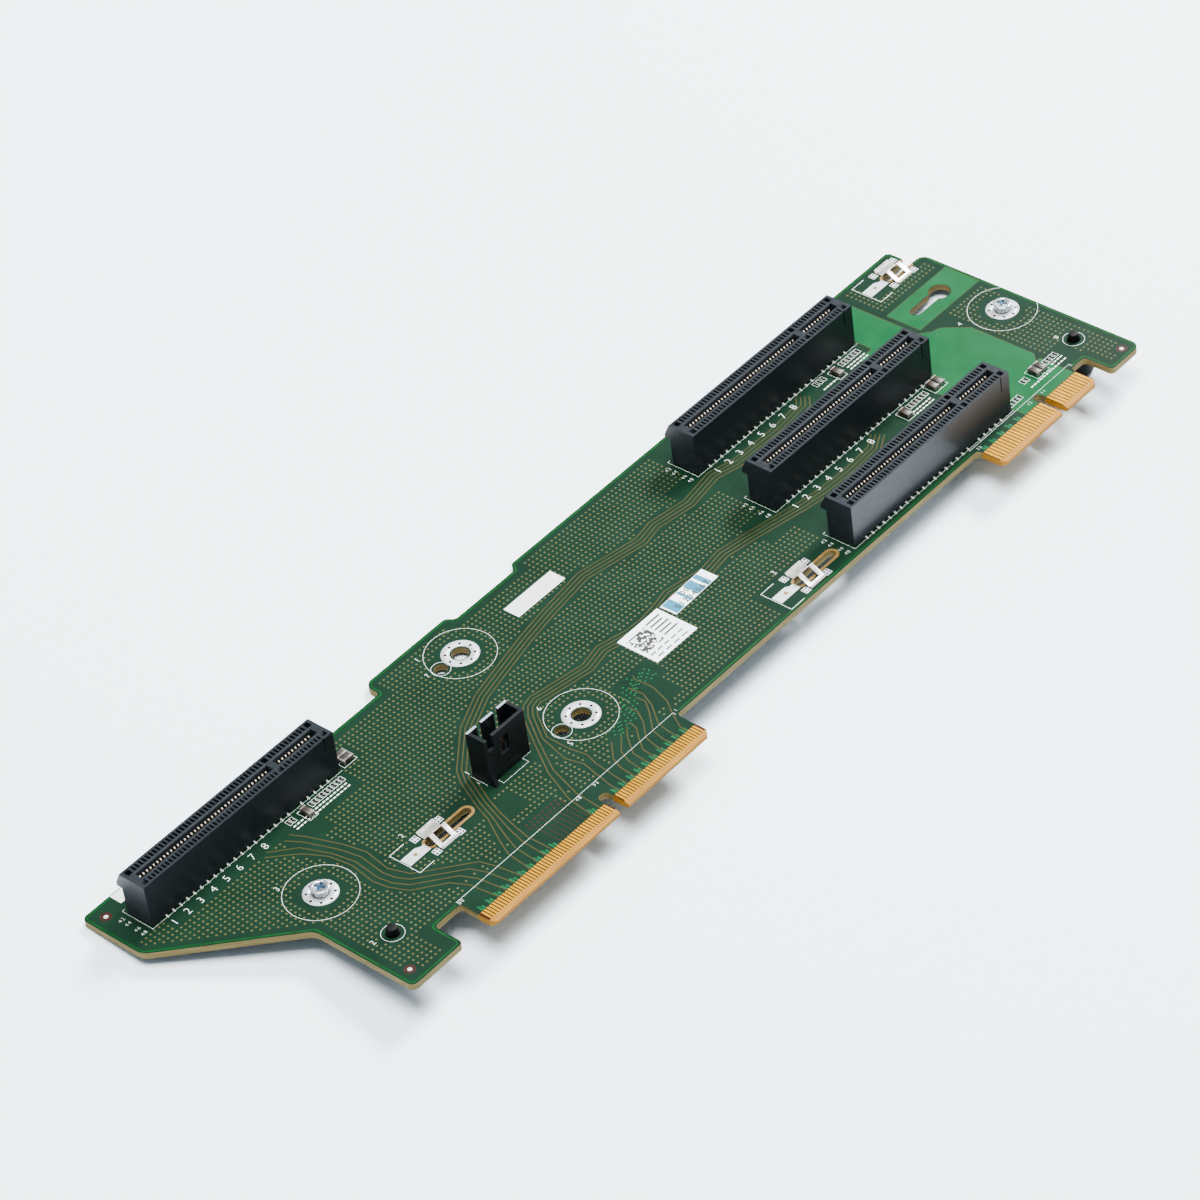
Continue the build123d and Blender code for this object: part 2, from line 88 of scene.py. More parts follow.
# An edge is plumb when its ends are this near to each other in plan, and stands at a corner when it is
# this near to it.
PLUMB_WITHIN = 0.01
CORNER_WITHIN = 0.1
# A corner's rounding takes up this share of the shorter run beside it at most.
RUN_SHARE = 0.45
# At a bend, the step between traces side by side grows to its own size over this at most.
BEND_LIMIT = 0.5
# Size of the font for digits one unit high, and how far apart they stand.
FONT_SIZE = 1.35
DIGIT_SPACING = 1.25


def paint(red: int, green: int, blue: int) -> Color:
    """Turns a colour as seen on a screen, 0 to 255, into the linear one that shaders take."""
    return tuple((part / 255) ** SCREEN_GAMMA for part in (red, green, blue))


class Shade:
    """A node material that is being put together."""

    def __init__(self, name: str) -> None:
        """Starts a material with its shader and a place to read Object coordinates from.

        Args:
            name: The material's name.
        """
        self.material = bpy.data.materials.new(name)
        self.material.use_nodes = True
        self.nodes = self.material.node_tree.nodes
        self.links = self.material.node_tree.links
        self.shader = self.nodes["Principled BSDF"]
        self.place = self.nodes.new("ShaderNodeTexCoord").outputs["Object"]

    def feed(self, socket: Socket, value: object) -> None:
        """Links a socket to another node's output, or sets it to a plain value.

        Args:
            socket: The input to fill.
            value: An output socket, a number, a vector or a colour.
        """
        if isinstance(value, Socket):
            self.links.new(value, socket)
        elif isinstance(value, tuple) and len(socket.default_value) == 4:
            socket.default_value = (*value, 1.0)
        else:
            socket.default_value = value

    def number(self, operation: str, first: object, second: object = 0.0) -> Socket:
        """Works out one number from two.

        Args:
            operation: Name of the Math node's operation.
            first: First number or output.
            second: Second number or output.

        Returns:
            The result's output.
        """
        node = self.nodes.new("ShaderNodeMath")
        node.operation = operation
        self.feed(node.inputs[0], first)
        self.feed(node.inputs[1], second)
        return node.outputs[0]

    def vector(self, operation: str, first: object, second: object = (0.0, 0.0, 0.0)) -> bpy.types.Node:
        """Adds a Vector Math node.

        Args:
            operation: Name of the operation.
            first: First vector or output.
            second: Second vector or output.

        Returns:
            The node, whose outputs hold the result.
        """
        node = self.nodes.new("ShaderNodeVectorMath")
        node.operation = operation
        self.feed(node.inputs[0], first)
        self.feed(node.inputs[1], second)
        return node

    def axes(self, value: Socket) -> tuple[Socket, ...]:
        """Splits a vector.

        Args:
            value: The vector's output.

        Returns:
            The outputs of its X, Y and Z.
        """
        node = self.nodes.new("ShaderNodeSeparateXYZ")
        self.links.new(value, node.inputs[0])
        return tuple(node.outputs)

    def grain(self, size: float, detail: float = 3.0, stretch: Triple = (1.0, 1.0, 1.0)) -> Socket:
        """Adds noise.

        Args:
            size: Size of one blotch, in millimetres.
            detail: Number of finer layers.
            stretch: How much more often the noise changes along each axis.

        Returns:
            The noise, 0 to 1.
        """
        node = self.nodes.new("ShaderNodeTexNoise")
        node.inputs["Scale"].default_value = 1 / (size * MM)
        node.inputs["Detail"].default_value = detail
        self.links.new(self.vector("MULTIPLY", self.place, stretch).outputs[0], node.inputs["Vector"])
        return node.outputs["Fac"]

    def blend(self, share: object, first: object, second: object) -> Socket:
        """Mixes two colours.

        Args:
            share: Share of the second colour, 0 to 1.
            first: First colour or output.
            second: Second colour or output.

        Returns:
            The mixed colour.
        """
        node = self.nodes.new("ShaderNodeMix")
        node.data_type = "RGBA"
        self.feed(node.inputs["Factor"], share)
        self.feed(node.inputs[6], first)
        self.feed(node.inputs[7], second)
        return node.outputs[2]

    def spread(self, value: Socket, low: float, high: float) -> Socket:
        """Maps a noise from its usual 0.3 to 0.7 onto another range.

        Args:
            value: The noise.
            low: Result at 0.3.
            high: Result at 0.7.

        Returns:
            The mapped number.
        """
        node = self.nodes.new("ShaderNodeMapRange")
        self.feed(node.inputs["Value"], value)
        limits = {"From Min": NOISE_LOW, "From Max": NOISE_HIGH, "To Min": low, "To Max": high}
        for name, number in limits.items():
            node.inputs[name].default_value = number
        return node.outputs[0]

    def coat(self, color: object, roughness: object, metallic: float = 0.0,
             specular: float = PLAIN_SPECULAR) -> None:
        """Gives the surface its colour, and says how it throws light back.

        Args:
            color: A colour or output.
            roughness: A number or output, 0 for a mirror to 1 for chalk.
            metallic: 0 for other substances to 1 for bare metal.
            specular: Strength of the mirrored light.
        """
        self.feed(self.shader.inputs["Base Color"], color)
        self.feed(self.shader.inputs["Roughness"], roughness)
        self.shader.inputs["Metallic"].default_value = metallic
        self.shader.inputs["Specular IOR Level"].default_value = specular

    def relief(self, height: object, depth: float, strength: float = 1.0) -> None:
        """Gives the surface small bumps.

        Args:
            height: The bumps' shape, 0 to 1.
            depth: Their depth, in millimetres.
            strength: How strongly they show, 0 to 1.
        """
        node = self.nodes.new("ShaderNodeBump")
        node.inputs["Distance"].default_value = depth * MM
        node.inputs["Strength"].default_value = strength
        self.feed(node.inputs["Height"], height)
        self.links.new(node.outputs["Normal"], self.shader.inputs["Normal"])


class Coating:
    """What every finish shares: a material that is mixed once and then handed out again."""

    name: str
    slot: str
    mixed: ClassVar[dict[str, bpy.types.Material]] = {}

    def material(self) -> bpy.types.Material:
        """Hands out the finish's node material.

        Returns:
            The material, mixed on the first call.
        """
        if self.name not in self.mixed:
            self.mixed[self.name] = self.mix()
        return self.mixed[self.name]

    def mix(self) -> bpy.types.Material:
        """Puts the material together; each finish has its own way."""
        raise NotImplementedError


@dataclass(frozen=True)
class Finish(Coating):
    """A surface of one substance, with grain in its colour, gloss and relief."""

    name: str
    slot: str
    color: Color
    tone: Color
    roughness: float
    metallic: float = 0.0
    grain_size: float = 1.0
    relief_depth: float = 0.01
    gloss_spread: float = 0.05
    specular: float = PLAIN_SPECULAR

    def mix(self) -> bpy.types.Material:
        """Mixes a material with grain in its colour, gloss and relief.

        Returns:
            The material.
        """
        shade = Shade(self.name)
        noise = shade.grain(self.grain_size)
        color = shade.blend(shade.spread(noise, 0.0, 1.0), self.color, self.tone)
        polished, dull = self.roughness - self.gloss_spread, self.roughness + self.gloss_spread
        gloss = shade.spread(shade.grain(self.grain_size * 3), polished, dull)
        shade.coat(color, gloss, self.metallic, self.specular)
        shade.relief(noise, self.relief_depth)
        return shade.material


@dataclass(frozen=True)
class BoardFinish(Coating):
    """Glossy solder mask on the faces, and bare laminate on the sides and between the fingers.

    A bare zone is given by its lower and upper X, and the Y under which it lies.
    """

    name: str = "solder_mask_and_laminate"
    slot: str = "solder_mask"
    mask: Color = paint(19, 40, 29)
    mask_tone: Color = paint(15, 34, 24)
    mask_grain: float = 9.0
    laminate: Color = paint(118, 104, 64)
    laminate_tone: Color = paint(84, 72, 40)
    layer_grain: float = 4.0
    layer_stretch: Triple = (0.5, 0.5, 14.0)
    bare: Color = paint(46, 22, 4)
    tongue: Color = paint(144, 100, 24)
    tongue_tone: Color = paint(124, 82, 18)
    bare_zones: tuple[Triple, ...] = ((-60.0, 12.0, -21.9), (114.0, 150.0, -18.2))
    level_from: float = 0.99
    side_roughness: float = 0.62
    face_polish: float = 0.30
    weave_size: float = 0.6
    weave_stretch: Triple = (1.0, 1.6, 1.0)
    weave_depth: float = 0.006
    weave_strength: float = 0.6

    def mix(self) -> bpy.types.Material:
        """Mixes mask and laminate, told apart by which way a face looks.

        Returns:
            The material.
        """
        shade = Shade(self.name)
        geometry = shade.nodes.new("ShaderNodeNewGeometry")
        level = shade.number("ABSOLUTE", shade.axes(geometry.outputs["Normal"])[2])
        is_face = shade.number("GREATER_THAN", level, self.level_from)
        is_bare = self.bare_share(shade)
        green = shade.blend(shade.spread(shade.grain(self.mask_grain), 0.0, 1.0), self.mask, self.mask_tone)
        layers = shade.spread(shade.grain(self.layer_grain, stretch=self.layer_stretch), 0.0, 1.0)
        tan = shade.blend(layers, self.laminate, self.laminate_tone)
        face = shade.blend(is_bare, green, self.bare)
        side = shade.blend(is_bare, tan, shade.blend(layers, self.tongue, self.tongue_tone))
        polish = shade.number("MULTIPLY", is_face, self.face_polish)
        roughness = shade.number("SUBTRACT", self.side_roughness, polish)
        shade.coat(shade.blend(is_face, side, face), roughness, specular=MASK_SPECULAR)
        weave = shade.grain(self.weave_size, 1.0, self.weave_stretch)
        shade.relief(weave, self.weave_depth, self.weave_strength)
        return shade.material

    def bare_share(self, shade: Shade) -> Socket:
        """Tells the tongues' bare ends from the masked board.

        Args:
            shade: The material that is being put together.

        Returns:
            1 in the bare zones and 0 elsewhere.
        """
        x, y, _ = shade.axes(shade.place)
        share = 0.0
        for low_x, high_x, top_y in self.bare_zones:
            inside = shade.number("GREATER_THAN", x, low_x * MM)
            inside = shade.number("MULTIPLY", inside, shade.number("LESS_THAN", x, high_x * MM))
            inside = shade.number("MULTIPLY", inside, shade.number("LESS_THAN", y, top_y * MM))
            share = shade.number("ADD", share, inside)
        return share


@dataclass(frozen=True)
class HighlightTippedFinish(Coating):
    """A substance whose upper ends, beyond some Y and above some Z, carry a painted highlight in a lighter
    colour.
    """

    name: str
    slot: str
    body: Color
    body_tone: Color
    # Colour of the painted highlight on the upper ends.
    tip: Color
    tip_from_z: float
    tip_from_y: float = -1000.0
    roughness: float = 0.36
    metallic: float = 0.0
    specular: float = DULL_SPECULAR
    grain_size: float = 0.4
    relief_depth: float = 0.006

    def mix(self) -> bpy.types.Material:
        """Mixes a material whose upper ends, told from the rest by where they are, get the painted highlight.

        Returns:
            The material.
        """
        shade = Shade(self.name)
        _, y, z = shade.axes(shade.place)
        is_far = shade.number("GREATER_THAN", y, self.tip_from_y * MM)
        is_high = shade.number("GREATER_THAN", z, self.tip_from_z * MM)
        noise = shade.grain(self.grain_size)
        body = shade.blend(shade.spread(noise, 0.0, 1.0), self.body, self.body_tone)
        # The upper ends get the painted highlight in place of the body's colour.
        color = shade.blend(shade.number("MULTIPLY", is_far, is_high), body, self.tip)
        shade.coat(color, self.roughness, self.metallic, self.specular)
        shade.relief(noise, self.relief_depth)
        return shade.material


PAPER_WHITE = paint(236, 243, 246)


@dataclass(frozen=True)
class SquaresFinish(Coating):
    """White paper with a block of random dark squares, given by its lower left corner and its side."""

    name: str
    slot: str
    corner: Point
    span: float
    square: float
    paper: Color = PAPER_WHITE
    paper_tone: Color = paint(206, 214, 218)
    ink: Color = paint(9, 10, 11)
    dark_from: float = 0.4
    roughness: float = 0.55
    fibre_size: float = 0.4
    fibre_tint: float = 0.12
    fibre_depth: float = 0.004

    def mix(self) -> bpy.types.Material:
        """Mixes paper and dark squares.

        Returns:
            The material.
        """
        shade = Shade(self.name)
        x, y = self.corner
        moved = shade.vector("SUBTRACT", shade.place, (x * MM, y * MM, 0.0)).outputs[0]
        per_metre = 1 / (self.square * MM)
        scaled = shade.vector("MULTIPLY", moved, (per_metre, per_metre, 0.0)).outputs[0]
        noise = shade.nodes.new("ShaderNodeTexWhiteNoise")
        noise.noise_dimensions = "2D"
        shade.links.new(shade.vector("FLOOR", scaled).outputs[0], noise.inputs["Vector"])
        dark = shade.number("GREATER_THAN", noise.outputs["Value"], self.dark_from)
        for axis in shade.axes(moved)[:2]:
            dark = shade.number("MULTIPLY", dark, shade.number("GREATER_THAN", axis, 0.0))
            dark = shade.number("MULTIPLY", dark, shade.number("LESS_THAN", axis, self.span * MM))
        fibre = shade.grain(self.fibre_size)
        paper = shade.blend(shade.spread(fibre, 0.0, self.fibre_tint), self.paper, self.paper_tone)
        shade.coat(shade.blend(dark, paper, self.ink), self.roughness)
        shade.relief(fibre, self.fibre_depth)
        return shade.material


def masked(name: str, color: Color, tone: Color, roughness: float = 0.35, grain_size: float = 1.0) -> Finish:
    """A finish for what lies under solder mask."""
    return Finish(name, "solder_mask", color, tone, roughness, grain_size=grain_size, specular=MASK_SPECULAR)


MASK_EDGE = masked("mask_edge_line", paint(13, 66, 28), paint(9, 52, 20), grain_size=3.0)
GROUND_COPPER = masked("masked_ground_copper", paint(11, 73, 42), paint(9, 65, 36), grain_size=6.0)
TRACE = masked("masked_trace", paint(57, 54, 31), paint(49, 47, 27), 0.4, 1.5)
STITCH = masked("ground_stitching", paint(74, 73, 44), paint(62, 62, 39), 0.45, 2.0)
VIA_GREEN = masked("masked_via", paint(18, 80, 48), paint(14, 62, 38))
RED_COPPER = Finish("reddish_copper", "gold_plating", paint(48, 20, 10), paint(38, 16, 8), roughness=0.5,
                    metallic=0.2, specular=DULL_SPECULAR)
BARE_EDGE = Finish("bare_laminate_margin", "solder_mask", paint(120, 92, 38), paint(96, 70, 26),
                   roughness=0.5)
INK = Finish("white_ink", "label_paper", paint(214, 222, 216), paint(190, 200, 194), roughness=0.6,
             grain_size=0.5)
TIN = Finish("tinned_pad", "tin_plating", paint(196, 199, 202), paint(178, 181, 184), roughness=0.4,
             metallic=0.25, grain_size=0.6)
SOLDER = Finish("bright_solder", "tin_plating", paint(234, 234, 228), paint(208, 208, 202), roughness=0.25,
                metallic=0.4, grain_size=0.3)
SHEET_METAL = Finish("tinned_sheet", "tin_plating", paint(222, 220, 214), paint(178, 174, 168),
                     roughness=0.28, metallic=0.8, grain_size=1.2)
# Open vias are flat dark discs: painted shade standing for the holes.
PAINTED_HOLE_SHADE = Finish("via_painted_shade", "gold_plating", paint(12, 8, 5), paint(7, 5, 3), roughness=0.6,
                   specular=DULL_SPECULAR)
GOLD = Finish("finger_gold", "gold_plating", paint(188, 138, 28), paint(170, 120, 20), roughness=0.32,
              metallic=0.45, grain_size=1.2, relief_depth=0.004)
# Dark gold blades whose cream tips above 9.5 mm are a painted highlight.
CONTACT_GOLD_AND_HIGHLIGHT = HighlightTippedFinish("contact_gold_and_highlight", "gold_plating", paint(64, 46, 22), paint(50, 34, 16),
                            tip=paint(186, 178, 158), tip_from_z=9.5)
SLOT_PLASTIC = Finish("slot_plastic", "slot_plastic", paint(33, 37, 41), paint(25, 29, 32), roughness=0.36,
                      grain_size=0.35, relief_depth=0.006, specular=DULL_SPECULAR)
# Brass pins whose light tips above 8.7 mm are a painted highlight.
PIN_BRASS_AND_HIGHLIGHT = HighlightTippedFinish("pin_brass_and_highlight", "tin_plating", paint(78, 70, 56), paint(60, 54, 44),
                         tip=paint(206, 202, 194), tip_from_z=8.7, metallic=0.4)
# Dark plastic whose light tops of the far wall, above 11.9 mm and beyond Y 5.95, are a painted highlight.
HEADER_PLASTIC_AND_HIGHLIGHT = HighlightTippedFinish("header_plastic", "header_plastic", paint(24, 27, 30), paint(18, 20, 22),
                              tip=paint(130, 140, 150), tip_from_z=11.9, tip_from_y=5.95)
SPRING_BACK = Finish("spring_back", "gold_plating", paint(84, 74, 54), paint(60, 52, 38), roughness=0.4,
                     metallic=0.4)
ZINC = Finish("zinc_plate", "screw_steel", paint(220, 226, 230), paint(196, 204, 210), roughness=0.2,
              metallic=0.85, grain_size=0.8, relief_depth=0.002)
BLUE_RECESS = Finish("blue_patch", "screw_steel", paint(16, 66, 92), paint(10, 44, 66), roughness=0.4,
                     metallic=0.4)
RUBBER = Finish("black_rubber", "bumper_rubber", paint(8, 8, 9), paint(5, 5, 6), roughness=0.55,
                grain_size=0.3, specular=0.12)
CHIP_BODY = Finish("chip_ceramic", "chip_ceramic", paint(48, 41, 34), paint(38, 33, 27), roughness=0.4,
                   grain_size=0.4)
CHIP_END = Finish("chip_end", "tin_plating", paint(114, 111, 105), paint(94, 92, 87), roughness=0.4,
                  metallic=0.3, grain_size=0.4)
CHIP_BLACK = Finish("chip_black", "chip_ceramic", paint(16, 16, 16), paint(11, 11, 11), roughness=0.45,
                    grain_size=0.3)
STRIP_PAPER = Finish("strip_label_paper", "label_paper", PAPER_WHITE, paint(220, 228, 232), roughness=0.55)
CYAN_BAND = Finish("cyan_band", "label_paper", paint(0, 108, 136), paint(0, 94, 122), roughness=0.5,
                   grain_size=0.8)
GREY_PRINT = Finish("grey_print", "label_paper", paint(20, 21, 23), paint(12, 13, 14), roughness=0.6,
                    grain_size=0.3)


def leave_edit() -> None:
    """Returns to object mode with nothing selected."""
    if bpy.context.object and bpy.context.object.mode != "OBJECT":
        bpy.ops.object.mode_set(mode="OBJECT")
    bpy.ops.object.select_all(action="DESELECT")


def take_up(piece: Piece) -> None:
    """Makes one piece the only selected and the active one.

    Args:
        piece: The piece.
    """
    leave_edit()
    piece.select_set(True)
    bpy.context.view_layer.objects.active = piece


def set_down(piece: Piece) -> Piece:
    """Writes a piece's place, turn and size into its mesh.

    Args:
        piece: The piece.

    Returns:
        The same piece, at the origin.
    """
    take_up(piece)
    bpy.ops.object.transform_apply(location=True, rotation=True, scale=True)
    return piece


def put_in_scene(name: str, data: bpy.types.ID) -> Piece:
    """Makes an object of some data and puts it in the scene.

    Args:
        name: The object's name.
        data: A mesh, curve, light or camera.

    Returns:
        The new object.
    """
    thing = bpy.data.objects.new(name, data)
    bpy.context.scene.collection.objects.link(thing)
    return thing


def pick_faces(piece: Piece, test: Callable[[Vector, Vector], bool]) -> None:
    """Opens a piece in edit mode with some of its faces selected.

    Args:
        piece: The piece to open.
        test: Says, from a face's centre in metres and its normal, whether to select it.
    """
    take_up(piece)
    bpy.ops.object.mode_set(mode="EDIT")
    bpy.ops.mesh.select_mode(type="FACE")
    bpy.ops.mesh.select_all(action="DESELECT")
    mesh = bmesh.from_edit_mesh(piece.data)
    for face in mesh.faces:
        face.select_set(test(face.calc_center_median(), face.normal))
    bmesh.update_edit_mesh(piece.data)


def looks_up(centre: Vector, normal: Vector) -> bool:
    """Picks the faces that look up."""
    return normal.z > UPRIGHT


def looks_down(centre: Vector, normal: Vector) -> bool:
    """Picks the faces that look down."""
    return normal.z < -UPRIGHT


def draw_out(*shift: float) -> None:
    """Extrudes the picked faces by a shift in X, Y and Z, in millimetres."""
    bpy.ops.mesh.extrude_region_move(TRANSFORM_OT_translate={"value": tuple(part * MM for part in shift)})


def taper(piece: Piece, along: float, across: float) -> None:
    """Narrows a piece towards its top.

    Args:
        piece: The piece.
        along: Length in X that its top faces keep, as a share.
        across: Length in Y that they keep.
    """
    pick_faces(piece, looks_up)
    bpy.ops.transform.resize(value=(along, across, 1))
    leave_edit()


def mirror(piece: Piece, scale: Place, shift: Place) -> Piece:
    """Turns a piece into its mirror image, with its faces pointing outwards.

    Args:
        piece: The piece.
        scale: -1 for the axis along which it is mirrored, and 1 for the others.
        shift: How far it then moves, in millimetres.

    Returns:
        The same piece, mirrored.
    """
    piece.scale = scale
    set_down(piece)
    piece.location = [part * MM for part in shift]
    set_down(piece)
    bpy.ops.object.mode_set(mode="EDIT")
    bpy.ops.mesh.select_all(action="SELECT")
    bpy.ops.mesh.flip_normals()
    leave_edit()
    return piece


def apply_modifier(piece: Piece, kind: str, **settings: object) -> None:
    """Adds one modifier to a piece and applies it.

    Args:
        piece: The piece.
        kind: Blender's name of the modifier's type.
        settings: The modifier's own values.
    """
    take_up(piece)
    modifier = piece.modifiers.new(kind.lower(), kind)
    for name, value in settings.items():
        setattr(modifier, name, value)
    bpy.ops.object.modifier_apply(modifier=modifier.name)


def repeat(piece: Piece, count: int, step: Place) -> None:
    """Repeats a piece along a straight line.

    Args:
        piece: The piece.
        count: How many there are in the end.
        step: From one to the next, in millimetres.
    """
    apply_modifier(piece, "ARRAY", count=count, use_relative_offset=False, use_constant_offset=True,
                   constant_offset_displace=[part * MM for part in step])


def round_edges(piece: Piece, width: float, segments: int = 2, smooth: float = 50.0) -> None:
    """Rounds a piece's sharp edges.

    Args:
        piece: The piece.
        width: Width of the rounding, in millimetres.
        segments: Number of faces across it.
        smooth: Faces that meet at less than this many degrees are shaded as one.
    """
    apply_modifier(piece, "BEVEL", width=width * MM, segments=segments, limit_method="ANGLE",
                   angle_limit=math.radians(SHARP_ANGLE), use_clamp_overlap=True)
    take_up(piece)
    bpy.ops.object.shade_smooth_by_angle(angle=math.radians(smooth))


def add_block(name: str, low: Sequence[float], high: Sequence[float]) -> Piece:
    """Adds a box between two corners, in millimetres.

    Args:
        name: The piece's name.
        low: Its lowest corner.
        high: Its highest corner.

    Returns:
        The new piece.
    """
    leave_edit()
    middle = [(a + b) / 2 * MM for a, b in zip(low, high)]
    bpy.ops.mesh.primitive_cube_add(size=1, location=middle)
    piece = bpy.context.object
    piece.name = name
    piece.scale = [(b - a) * MM for a, b in zip(low, high)]
    return set_down(piece)


def add_drum(name: str, radius: float, low: float, high: float, place: Point, sides: int = 48) -> Piece:
    """Adds an upright cylinder.

    Args:
        name: The piece's name.
        radius: Its radius, in millimetres.
        low: Height of its lower end.
        high: Height of its upper end.
        place: X and Y of its axis.
        sides: Number of its side faces.

    Returns:
        The new piece.
    """
    leave_edit()
    centre = (place[0] * MM, place[1] * MM, (low + high) / 2 * MM)
    depth = (high - low) * MM
    bpy.ops.mesh.primitive_cylinder_add(vertices=sides, radius=radius * MM, depth=depth, location=centre)
    piece = bpy.context.object
    piece.name = name
    return set_down(piece)


def add_disc(name: str, radius: float, place: Point, height: float, sides: int = 32) -> Piece:
    """Adds a flat filled disc.

    Args:
        name: The piece's name.
        radius: Its radius, in millimetres.
        place: X and Y of its centre.
        height: Its Z.
        sides: Number of its corners.

    Returns:
        The new piece.
    """
    leave_edit()
    centre = (place[0] * MM, place[1] * MM, height * MM)
    bpy.ops.mesh.primitive_circle_add(vertices=sides, radius=radius * MM, fill_type="NGON", location=centre)
    piece = bpy.context.object
    piece.name = name
    return set_down(piece)


def join_pieces(name: str, pieces: Sequence[Piece]) -> Piece:
    """Joins several pieces into one mesh.

    Args:
        name: Name of the joined piece.
        pieces: What to join; the first one's object is kept.

    Returns:
        The joined piece.
    """
    leave_edit()
    for piece in pieces:
        piece.select_set(True)
    bpy.context.view_layer.objects.active = pieces[0]
    if len(pieces) > 1:
        bpy.ops.object.join()
    pieces[0].name = name
    return pieces[0]


def copy_piece(piece: Piece, name: str, shift: Sequence[float] = (0.0, 0.0, 0.0)) -> Piece:
    """Copies a piece with a mesh of its own.

    Args:
        piece: What to copy.
        name: The copy's name.
        shift: How far to move the copy, in millimetres.

    Returns:
        The copy, at the origin with its place in its mesh.
    """
    twin = put_in_scene(name, piece.data.copy())
    twin.location = [part * MM for part in shift]
    return set_down(twin)


def copy_of_node(node: str, name: str) -> Piece:
    """Copies a CAD node as a clean mesh, merged and free of needless edges.

    Args:
        node: The CAD node's name.
        name: The copy's name.

    Returns:
        The copy, ready to be given rounded edges.
    """
    piece = copy_piece(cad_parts[node], name)
    take_up(piece)
    bpy.ops.object.mode_set(mode="EDIT")
    bpy.ops.mesh.select_all(action="SELECT")
    bpy.ops.mesh.remove_doubles(threshold=MERGE_WITHIN * MM)
    bpy.ops.mesh.dissolve_limited(angle_limit=math.radians(LEVEL_WITHIN))
    leave_edit()
    piece.data.materials.clear()
    return piece


def lay_up(piece: Piece, finish: Coating, *replaced: str) -> Piece:
    """Dresses a piece and fixes it to the card.

    Args:
        piece: The piece.
        finish: What its surface is.
        replaced: The CAD nodes that it stands for.

    Returns:
        The same piece.
    """
    piece.data.materials.clear()
    piece.data.materials.append(finish.material())
    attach(piece, "root")
    if replaced:
        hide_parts(*replaced)
    LOG.info("%s: %d faces", piece.name, len(piece.data.polygons))
    return piece


def dress_node(node: str, finish: Coating) -> None:
    """Gives a CAD node that stays as it is its finish.

    Args:
        node: The node's name.
        finish: What its surface is.
    """
    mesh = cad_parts[node].data
    mesh.materials.clear()
    mesh.materials.append(finish.material())
    LOG.info("%s: CAD node in %s", node, finish.name)


@dataclass(frozen=True)
class Stroke:
    """A line of even width printed on the board."""

    points: tuple[Point, ...]
    width: float
    closed: bool = False


def half_turn(start: float, steps: int = 12) -> list[float]:
    """Angles of half a circle, in radians, from a start in degrees."""
    return [math.radians(start + 180 * i / steps) for i in range(steps + 1)]


def arc_points(place: Point, radius: float, angles: Iterable[float]) -> list[Point]:
    """Points round a centre, at angles in radians."""
    return [(place[0] + radius * math.cos(a), place[1] + radius * math.sin(a)) for a in angles]


def ring(place: Point, radius: float, width: float, sides: int = 64, start: float = 0.0,
         turn: float = 360.0) -> Stroke:
    """A printed circle or part of one.

    Args:
        place: Its centre.
        radius: Radius of the line's middle.
        width: The line's width.
        sides: Number of straight steps.
        start: Angle where it starts, in degrees.
        turn: How far it goes round.

    Returns:
        The stroke.
    """
    closed = turn >= 360
    steps = sides if closed else sides + 1
    angles = [math.radians(start + turn * i / sides) for i in range(steps)]
    return Stroke(tuple(arc_points(place, radius, angles)), width, closed)


def rectangle(low: Point, high: Point) -> tuple[Point, ...]:
    """Corners of a rectangle, from its lowest one on along X."""
    return low, (high[0], low[1]), high, (low[0], high[1])


def frame_stroke(low: Point, high: Point, width: float) -> Stroke:
    """A printed rectangle between two corners."""
    return Stroke(rectangle(low, high), width, True)


def add_line(curve: bpy.types.Curve, points: Sequence[Point], closed: bool, height: float = 0.0) -> None:
    """Adds one line of straight runs to a curve.

    Args:
        curve: The curve.
        points: The line's corners, in millimetres.
        closed: Whether its end meets its start.
        height: Its Z.
    """
    line = curve.splines.new("POLY")
    line.points.add(len(points) - 1)
    for knot, (x, y) in zip(line.points, points):
        knot.co = (x * MM, y * MM, height * MM, 1)
        knot.tilt = math.pi / 2
    line.use_cyclic_u = closed


def mesh_from_curve(name: str, curve: bpy.types.Curve, height: float = 0.0) -> Piece:
    """Turns a curve into a mesh.

    Args:
        name: The mesh's name.
        curve: The curve.
        height: How far the mesh is lifted, in millimetres.

    Returns:
        The mesh.
    """
    sheet = put_in_scene(name, curve)
    sheet.location.z = height * MM
    take_up(sheet)
    bpy.ops.object.convert(target="MESH")
    return set_down(bpy.context.object)


def print_strokes(name: str, strokes: Iterable[Stroke], height: float) -> Piece:
    """Turns strokes into one flat mesh just above the board.

    Args:
        name: The mesh's name.
        strokes: The lines, in millimetres.
        height: Their Z.

    Returns:
        The mesh, facing up.
    """
    by_width: dict[float, list[Stroke]] = {}
    for stroke in strokes:
        by_width.setdefault(stroke.width, []).append(stroke)
    sheets = []
    for width, group in by_width.items():
        curve = bpy.data.curves.new(name, "CURVE")
        curve.dimensions = "3D"
        curve.twist_mode = "Z_UP"
        curve.extrude = width / 2 * MM
        for stroke in group:
            add_line(curve, stroke.points, stroke.closed, height)
        sheets.append(mesh_from_curve(name, curve))
    return face_up(join_pieces(name, sheets))


def print_discs(name: str, radius: float, places: Iterable[Point], height: float, sides: int) -> Piece:
    """Prints a round dot at each of several places.

    Args:
        name: The mesh's name.
        radius: The dots' radius, in millimetres.
        places: X and Y of their centres.
        height: Their Z.
        sides: Number of corners of each.

    Returns:
        The mesh, facing up.
    """
    return face_up(join_pieces(name, [add_disc(name, radius, place, height, sides) for place in places]))


